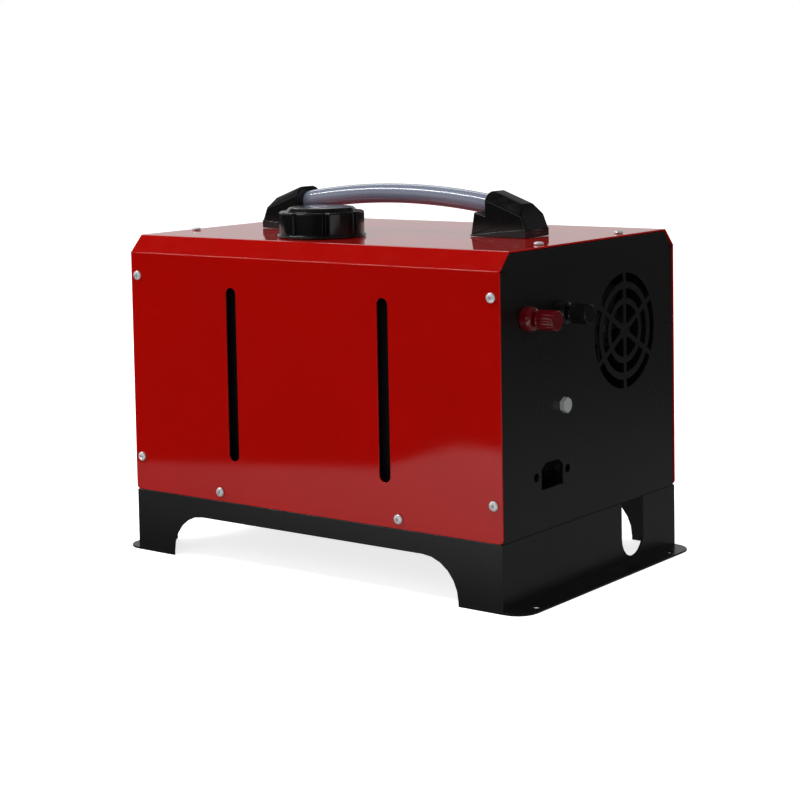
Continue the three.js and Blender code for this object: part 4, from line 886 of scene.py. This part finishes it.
def makeCollar(settings):
    foot, end, radius = settings["foot"], settings["end"], settings["radius"]
    inner = settings["stud"] + settings["slack"]
    profile = [(inner, settings["neckEnd"]), (settings["neck"], settings["neckEnd"]),
               (settings["neck"], foot), (radius - 0.3, foot), (radius, foot + 0.4),
               (radius, end - 4.2)]
    for step in range(1, 8):
        angle = math.radians(90 * step / 8)
        profile.append((radius - 4.4 * (1 - math.cos(angle)), end - 4.2 + 3.9 * math.sin(angle)))
    profile += [(radius - 4.6, end), (inner + 0.5, end), (inner, end - 0.4)]
    return turned(profile, "right", steps=56, closed=True)


# A slim knob with rounded flutes, a waist under its crown and a flat end.
def makeKnob(settings):
    start, end, radius = settings["knobStart"], settings["knobEnd"], settings["knob"]
    points = []
    for flute in range(settings["flutes"]):
        for part in range(6):
            angle = 2 * math.pi * (flute + part / 6) / settings["flutes"]
            dip = settings["fluteDepth"] * (0.5 - 0.5 * math.cos(2 * math.pi * part / 6)) ** 1.5
            points.append(((radius - dip) * math.cos(angle), (radius - dip) * math.sin(angle)))
    body = prism(points, start + 0.01, end - 1.6, "X")
    crown = turned([(0, end - 1.7), (radius - 0.35, end - 1.7), (radius, end - 1.35), (radius, end - 0.6),
                    (radius - 0.25, end - 0.2), (radius - 0.7, end), (0, end)], "right", steps=64)
    skirt = turned([(0, start), (radius - 0.6, start), (radius, start + 0.5), (radius, start + 1.0),
                    (radius - 0.5, start + 1.5), (0, start + 1.5)], "right", steps=64)
    bore = rod(settings["stud"] + settings["slack"], start - 1, settings["knobBore"], "X", 0, 0, 32)
    return carved(joined(body, crown, skirt), bore)


def makeBolt(settings):
    foot, end = settings["foot"], settings["foot"] + settings["boltHead"]
    corner = settings["boltFlats"] / math.sqrt(3)
    head = prism([(corner * math.sin(math.radians(60 * i)), corner * math.cos(math.radians(60 * i)))
                  for i in range(6)], foot, end, "X")
    dome = turned([(0, foot - 1), (corner + 0.1, foot - 1), (corner + 0.1, end - 0.75),
                   (corner - 0.75, end), (0, end)], "right", steps=64)
    head = combined(head, dome, "INTERSECT")
    softenEdges(head, 0.18, 2, 20)
    shank = turned(threaded(settings["boltShank"], 0.35, settings["boltEnd"], foot + 0.5,
                            settings["boltPitch"]), "right", steps=28)
    return joined(head, shank)


for label, y in terminalSettings["places"].items():
    coat = {"red": "red_plastic", "black": "gloss_black"}[label]
    collar = moved(makeCollar(terminalSettings), 0, y, terminalSettings["z"])
    finished(f"terminalCollar_{label}", collar, coat, "case",
             f"terminal_collar_{label}", edge=0.08)
    stud = turned(threaded(terminalSettings["stud"], 0.22, terminalSettings["studStart"],
                           terminalSettings["studEnd"], terminalSettings["pitch"]), "right",
                  (0, y, terminalSettings["z"]), 24)
    finished(f"terminalStud_{label}", stud, "brass", "case",
             f"terminal_stud_{label}", edge=0)
    knob = moved(makeKnob(terminalSettings), 0, y, terminalSettings["z"])
    finished(f"terminalKnob_{label}", knob, coat, f"{label}_knob",
             f"terminal_knob_{label}", edge=0.1, angle=45)
bolt = moved(makeBolt(terminalSettings), 0, *terminalSettings["bolt"])
finished("earthBolt", bolt, "zinc_steel", "case", "earth_bolt", edge=0,
         crease=35)
print("terminals made")


controllerSettings = {
    "front": -107.0, "rear": -7.0, "low": 172.0, "high": 224.0, "back": -170.8, "face": -182.8,
    "corner": 3.0, "bevel": 3.0, "bevelWear": 0.5, "rootInset": 10.0, "rootEnd": -161.3, "rootCorner": 2.5,
    "screenWidth": 44.0, "screenHeight": 32.0, "screenDepth": 1.5, "slack": 0.3,
    "button": 5.5, "buttonDepth": 3.0, "buttonProud": 1.2, "well": 5.8, "travel": 0.8,
    "buttonPlaces": [(-93.0, 187.0), (-93.0, 209.0), (-21.0, 187.0), (-21.0, 209.0)],
}


def makeHousing(settings):
    y0, y1, z0, z1 = settings["front"], settings["rear"], settings["low"], settings["high"]
    shell = prism([(y0, z0), (y1, z0), (y1, z1), (y0, z1)], settings["face"], settings["back"], "X",
                  settings["corner"], 5)
    front = [e for e in shell.edges if max(v.co.x for v in e.verts) < settings["face"] + 0.01]
    roundOff(shell, front, settings["bevel"], 5, settings["bevelWear"], True)
    inset = settings["rootInset"]
    root = prism([(y0 + inset, z0 + inset), (y1 - inset, z0 + inset), (y1 - inset, z1 - inset),
                  (y0 + inset, z1 - inset)], settings["back"] - 1, settings["rootEnd"], "X",
                 settings["rootCorner"], 3)
    middleY, middleZ = (y0 + y1) / 2, (z0 + z1) / 2
    halfWidth = settings["screenWidth"] / 2 + settings["slack"]
    halfHeight = settings["screenHeight"] / 2 + settings["slack"]
    recess = box(settings["face"] - 1, settings["face"] + settings["screenDepth"] + settings["slack"],
                 middleY - halfWidth, middleY + halfWidth, middleZ - halfHeight, middleZ + halfHeight)
    deep = settings["face"] + settings["buttonDepth"] + settings["travel"] + settings["slack"]
    wells = [rod(settings["well"], settings["face"] - 1, deep, "X", y, z, 40)
             for y, z in settings["buttonPlaces"]]
    return carved(joined(shell, root), recess, *wells)


def makeScreen(settings):
    halfWidth, halfHeight = settings["screenWidth"] / 2, settings["screenHeight"] / 2
    screen = box(settings["face"], settings["face"] + settings["screenDepth"], -halfWidth, halfWidth,
                 -halfHeight, halfHeight)
    return moved(screen, 0, (settings["front"] + settings["rear"]) / 2,
                 (settings["low"] + settings["high"]) / 2)


# A round button with a shallow dish for the finger. It points to the left.
def makeButton(settings):
    radius = settings["button"]
    low, high = -settings["buttonDepth"], settings["buttonProud"]
    profile = [(0, low), (radius, low), (radius, high - 0.7), (radius - 0.2, high - 0.2),
               (radius - 0.7, high)]
    profile += [(radius * part, high - 0.35 * math.cos(part * math.pi / 2) ** 2)
                for part in (0.8, 0.65, 0.5, 0.35, 0.2)]
    return turned([*profile, (0, high - 0.35)], "left", (settings["face"], 0, 0), 40)


finished("controllerCase", makeHousing(controllerSettings), "matt_black",
         "case", "controller_housing", edge=0.2)
finished("controllerGlass", makeScreen(controllerSettings), "screen_glass", "case", "controller_screen",
         edge=0.35, steps=3)
for number, (y, z) in enumerate(controllerSettings["buttonPlaces"], 1):
    finished(f"controllerKey_{number}", moved(makeButton(controllerSettings), 0, y, z),
             "button_plastic", f"button_{number}",
             f"controller_button_{number}", edge=0.05)
print("controller made")


outletSettings = {
    "bore": 35.5, "tube": 37.5, "flange": 40.0, "flangeFace": -172.8, "panel": -170.8,
    "proud": -182.5, "inside": -139.3, "ringInner": 32.1, "ringOuter": 35.1, "ringInside": -160.5,
    "brim": -182.8, "tip": -196.5, "ribs": 5,
    "slatX": -185.0, "chord": 19.0, "sheet": 1.6, "half": 21.0, "pin": 1.2, "pinHole": 1.35,
    "pinEntry": 2.0, "spacing": 16.0,
}


def makeOutletCollar(settings):
    bore, tube, flange = settings["bore"], settings["tube"], settings["flange"]
    profile = [(bore, settings["proud"]), (bore, settings["inside"]), (tube, settings["inside"]),
               (tube, settings["panel"]), (flange, settings["panel"]),
               (flange, settings["flangeFace"] + 0.5), (flange - 0.5, settings["flangeFace"]),
               (tube + 0.5, settings["flangeFace"]), (tube, settings["flangeFace"] - 0.5),
               (tube, settings["proud"])]
    return turned(profile, "right", steps=96, closed=True)


def makeLouvreRing(settings):
    inner, outer, tube = settings["ringInner"], settings["ringOuter"], settings["tube"]
    tip, brim = settings["tip"], settings["brim"]
    profile = [(inner, tip + 1.0), (inner, settings["ringInside"]), (outer, settings["ringInside"]),
               (outer, brim)]
    place = brim
    for rib in range(settings["ribs"]):
        profile += [(tube, place), (tube, place - 1.3), (tube - 0.35, place - 1.5),
                    (tube - 0.35, place - 1.9)]
        place -= 2.1
    profile += [(tube, place), (tube, tip + 2.0), (tube - 0.3, tip + 0.9), (tube - 1.0, tip + 0.2),
                (tube - 1.9, tip), (inner + 0.8, tip), (inner + 0.25, tip + 0.25)]
    ring = turned(profile, "right", steps=96, closed=True)
    holes = []
    for row in (-1, 0, 1):
        z = row * settings["spacing"]
        reach = math.sqrt(inner ** 2 - z ** 2) + settings["pinEntry"] + caseValue("gap")
        holes.append(rod(settings["pinHole"], -reach, reach, "Y", settings["slatX"], z, 20))
    return carved(ring, *holes)


def makeSlat(settings, z):
    chord, sheet, half = settings["chord"] / 2, settings["sheet"] / 2, settings["half"]
    section = []
    for step in range(16):
        angle = 2 * math.pi * step / 16
        flat = 1 - 0.25 * abs(math.cos(angle))
        section.append((settings["slatX"] + chord * math.cos(angle),
                        sheet * flat * math.copysign(abs(math.sin(angle)) ** 0.6, math.sin(angle))))
    blade = prism(section, -half, half, "Y")
    reach = math.sqrt(settings["ringInner"] ** 2 - z ** 2) + settings["pinEntry"]
    spindle = rod(settings["pin"], -reach, reach, "Y", settings["slatX"], 0, 20)
    return moved(joined(blade, spindle), 0, 0, z)


ductPlace = (0, caseValue("ductY"), caseValue("ductZ"))
finished("outletCollar", moved(makeOutletCollar(outletSettings), *ductPlace), "matt_black", "case",
         "outlet_collar", edge=0)
finished("louvreRing", moved(makeLouvreRing(outletSettings), *ductPlace), "matt_black", "louvre",
         "louvre_ring", edge=0)
for number, (row, body) in enumerate(((-1, "slat_low"), (0, "slat_middle"), (1, "slat_high")), 1):
    slat = moved(makeSlat(outletSettings, row * outletSettings["spacing"]), *ductPlace)
    finished(f"outletSlat_{number}", slat, "matt_black", body,
             f"outlet_slat_{number}", edge=0.08)
print("outlet made")


fanSettings = {
    "left": 127.8, "right": 149.8, "hub": 13.0, "tip": 41.9, "blades": 9, "root": 12.2,
    "axial": (9.6, 8.4), "swing": (5.0, 8.4), "camber": 1.6, "sheet": 1.5, "spans": 7, "chords": 8,
    "bore": 3.3, "shaft": 3.0, "shaftStart": 61.0, "shaftEnd": 152.8,
}


# One cambered and twisted blade, drawn as a skin and then thickened.
def makeBlade(settings):
    bm = bmesh.new()
    rows = []
    for span in range(settings["spans"] + 1):
        part = span / settings["spans"]
        radius = settings["root"] + (settings["tip"] - 0.3 - settings["root"]) * part
        axial = settings["axial"][0] + (settings["axial"][1] - settings["axial"][0]) * part
        swing = settings["swing"][0] + (settings["swing"][1] - settings["swing"][0]) * part
        row = []
        for step in range(settings["chords"] + 1):
            along = 2 * step / settings["chords"] - 1
            corner = 1 - 0.25 * max(0.0, part - 0.8) * 5 * along ** 2
            turn = (swing * along * corner) / radius
            x = axial * along * corner + settings["camber"] * (1 - along ** 2)
            row.append(bm.verts.new((x, radius * math.sin(turn), radius * math.cos(turn))))
        rows.append(row)
    for low, high in zip(rows, rows[1:]):
        for i in range(settings["chords"]):
            bm.faces.new((low[i], low[i + 1], high[i + 1], high[i]))
    bmesh.ops.recalc_face_normals(bm, faces=bm.faces[:])
    bmesh.ops.solidify(bm, geom=bm.faces[:], thickness=settings["sheet"])
    return tidyNormals(bm)


def makeFan(settings):
    hub, left, right = settings["hub"], settings["left"], settings["right"]
    wheel = turned([(settings["bore"], left), (hub - 0.8, left), (hub, left + 0.8), (hub, right - 2.4),
                    (hub - 0.5, right - 1.0), (hub - 1.6, right - 0.2), (hub - 2.4, right),
                    (8.0, right), (7.4, right - 0.9), (6.2, right - 1.1), (settings["bore"], right - 1.1)],
                   "right", steps=56, closed=True)
    middle = (left + right) / 2
    for number in range(settings["blades"]):
        blade = moved(makeBlade(settings), middle)
        bmesh.ops.rotate(blade, cent=(0, 0, 0), verts=blade.verts[:],
                         matrix=Matrix.Rotation(2 * math.pi * number / settings["blades"], 3, "X"))
        wheel = joined(wheel, blade)
    return wheel


def makeShaft(settings):
    radius, length = settings["shaft"], settings["shaftEnd"] - settings["shaftStart"]
    return turned([(0, 0), (radius - 0.4, 0), (radius, 0.4), (radius, length - 0.4),
                   (radius - 0.4, length), (0, length)], "right", (settings["shaftStart"], 0, 0), 28)


finished("airFan", moved(makeFan(fanSettings), *ductPlace), "matt_black",
         "fan_rotor", "warm_air_fan", edge=0.15, angle=50)
shaft = moved(makeShaft(fanSettings), *ductPlace)
finished("fanSpindle", shaft, "bare_steel", "fan_rotor",
         "fan_shaft", edge=0)
finished("combustionWheel", copyOf("combustion_impeller"), "matt_black",
         "fan_rotor", "combustion_impeller", edge=0.2)
print("fan made")


# CAD node, finish and how far its edges are softened
innerPieces = {
    "fuelTank": ("fuel_tank", "tank_plastic", 0.9),
    "lowerHeaterShell": ("heater_lower_shell", "matt_black", 0.5),
    "upperHeaterShell": ("heater_upper_shell", "matt_black", 0.5),
    "heatExchanger": ("heat_exchanger", "cast_aluminium", 0.3),
    "burnerTube": ("burner_tube", "bare_steel", 0.3),
    "motorPlate": ("fan_motor", "cast_aluminium", 0.5),
    "glowPlug": ("glow_plug", "bare_steel", 0.3),
    "controlUnit": ("control_unit", "matt_black", 0.6),
    "heaterSaddle": ("heater_saddle", "bare_steel", 0.3),
    "fuelPump": ("fuel_pump", "zinc_steel", 0.4),
    "pumpClamp": ("pump_clamp", "rubber", 0.4),
    "supplyLine": ("fuel_line_supply", "rubber", 0.0),
    "feedLine": ("fuel_line_feed", "rubber", 0.0),
}
for name, (node, coat, edge) in innerPieces.items():
    finished(name, copyOf(node), coat, "case", node, edge=edge)
print("inner pieces made")


stageSettings = {
    "floorHalf": 12.0, "cameraGlow": 0.78, "worldFill": 0.5, "band": 0.6, "overhead": 0.02,
    "bandRight": 0.1,
    "lamps": {
        "over": {"place": (-0.2, -0.5, 2.2), "aim": (0, 0, 0.1), "size": (1.6, 1.2), "power": 17.0,
                 "glossy": False},
        "key": {"place": (-1.4, -0.92, 1.87), "aim": (-1.4, 0, 0.25), "size": (1.5, 0.2), "power": 24.0,
                "glossy": True},
        "rim": {"place": (-1.3, 1.0, 1.5), "aim": (-1.3, 0, 0.25), "size": (1.3, 0.4), "power": 5.0,
                "glossy": True},
        "front": {"place": (0.7, -2.3, 1.3), "aim": (0, 0, 0.12), "size": (1.4, 1.2), "power": 9.0,
                  "glossy": False},
        "right": {"place": (2.3, -0.3, 1.0), "aim": (0, 0, 0.13), "size": (1.0, 1.0), "power": 3.8,
                  "glossy": False},
    },
}


def socketSum(tree, first, *others):
    for other in others:
        first = calculate(tree, "ADD", first, other)
    return first


# How bright reflections see the floor: a pale sheet in front of the case, dim behind it. The pale sheet
# carries a painted shadow of the case: darker close to its front, brighter further out.
def floorMirror(tree):
    place = addNode(tree, "ShaderNodeTexCoord").outputs["Object"]
    across, along = addNode(tree, "ShaderNodeSeparateXYZ", {"Vector": place}).outputs[:2]
    edge = socketSum(tree, along, times(tree, across, 0.45), 0.56)
    corner = calculate(tree, "MINIMUM", calculate(tree, "ADD", along, 0.598),
                       times(tree, calculate(tree, "ADD", across, 0.205), 4.0))
    sheet = remap(tree, calculate(tree, "MAXIMUM", edge, corner), -0.012, 0.012)
    # Painted shadow of the case on the floor, seen only in reflections: the sheet brightens with distance
    # from the case's front.
    paleWithPaintedShadow = socketSum(tree, times(tree, along, -1.2), times(tree, across, 0.8), 0.25)
    paleWithPaintedShadow = calculate(tree, "MINIMUM", calculate(tree, "MAXIMUM", paleWithPaintedShadow, 0.24), 0.86)
    # More painted shadow: darker still within reach of the case's front.
    paleWithPaintedShadow = times(tree, paleWithPaintedShadow, remap(tree, along, -0.32, -0.14, 1.0, 0.25))
    front = times(tree, paleWithPaintedShadow, sheet)
    span = addNode(tree, "ShaderNodeVectorMath", {0: place}, operation="LENGTH").outputs["Value"]
    rear = remap(tree, span, 0.3, 1.3, 0.17, 0.035)
    behind = remap(tree, along, -0.12, -0.09)
    kept = times(tree, front, calculate(tree, "SUBTRACT", 1.0, behind))
    return socketSum(tree, kept, times(tree, rear, behind))


def makeFloor(settings):
    bm = bmesh.new()
    bmesh.ops.create_grid(bm, x_segments=1, y_segments=1, size=settings["floorHalf"] * 1000)
    bmesh.ops.scale(bm, vec=(0.001, 0.001, 0.001), verts=bm.verts[:])
    floor = asObject("floorSheet", bm)
    material = bpy.data.materials.new("white_floor")
    material.use_nodes = True
    tree = material.node_tree
    tree.nodes.remove(tree.nodes["Principled BSDF"])
    out = tree.nodes["Material Output"]
    paper = addNode(tree, "ShaderNodeBsdfDiffuse", {"Color": (0.8, 0.8, 0.8, 1.0)}).outputs[0]
    mirror = addNode(tree, "ShaderNodeEmission", {"Strength": floorMirror(tree)}).outputs[0]
    glow = addNode(tree, "ShaderNodeEmission", {"Strength": settings["cameraGlow"]}).outputs[0]
    seen = addNode(tree, "ShaderNodeAddShader", {0: paper, 1: glow}).outputs[0]
    rays = addNode(tree, "ShaderNodeLightPath").outputs
    reflected = addNode(tree, "ShaderNodeMixShader",
                        {0: rays["Is Glossy Ray"], 1: paper, 2: mirror}).outputs[0]
    shown = addNode(tree, "ShaderNodeMixShader",
                    {0: rays["Is Camera Ray"], 1: reflected, 2: seen}).outputs[0]
    tree.links.new(shown, out.inputs["Surface"])
    floor.data.materials.append(material)


# White behind the object; reflections see a pale band above the horizon and little overhead.
def makeWorld(settings):
    world = bpy.data.worlds.new("studio")
    bpy.context.scene.world = world
    world.use_nodes = True
    tree = world.node_tree
    tree.nodes.clear()
    out = addNode(tree, "ShaderNodeOutputWorld")
    ray = addNode(tree, "ShaderNodeTexCoord").outputs["Generated"]
    across, _, up = addNode(tree, "ShaderNodeSeparateXYZ", {"Vector": ray}).outputs
    level = remap(tree, across, 0.05, 0.4, settings["band"], settings["bandRight"])
    band = times(tree, level, remap(tree, up, 0.3, 0.45, 1.0, 0.0))
    band = calculate(tree, "ADD", band, settings["overhead"])
    white = addNode(tree, "ShaderNodeBackground", {"Color": (1, 1, 1, 1), "Strength": 1.0}).outputs[0]
    fill = addNode(tree, "ShaderNodeBackground",
                   {"Color": (1, 1, 1, 1), "Strength": settings["worldFill"]}).outputs[0]
    mirror = addNode(tree, "ShaderNodeBackground", {"Color": (1, 1, 1, 1), "Strength": band}).outputs[0]
    rays = addNode(tree, "ShaderNodeLightPath").outputs
    reflected = addNode(tree, "ShaderNodeMixShader",
                        {0: rays["Is Glossy Ray"], 1: fill, 2: mirror}).outputs[0]
    shown = addNode(tree, "ShaderNodeMixShader",
                    {0: rays["Is Camera Ray"], 1: reflected, 2: white}).outputs[0]
    tree.links.new(shown, out.inputs["Surface"])


def makeLamps(lamps):
    for name, lamp in lamps.items():
        data = bpy.data.lights.new(name, "AREA")
        data.shape = "RECTANGLE"
        data.size, data.size_y = lamp["size"]
        data.energy = lamp["power"]
        made = bpy.data.objects.new(name, data)
        made.location = lamp["place"]
        facing = Vector(lamp["aim"]) - Vector(lamp["place"])
        made.rotation_euler = facing.to_track_quat("-Z", "Y").to_euler()
        made.visible_glossy = lamp["glossy"]
        made.visible_camera = False
        bpy.context.scene.collection.objects.link(made)


makeFloor(stageSettings)
makeWorld(stageSettings)
makeLamps(stageSettings["lamps"])
bpy.context.scene.view_settings.view_transform = "Standard"
print("stage made")
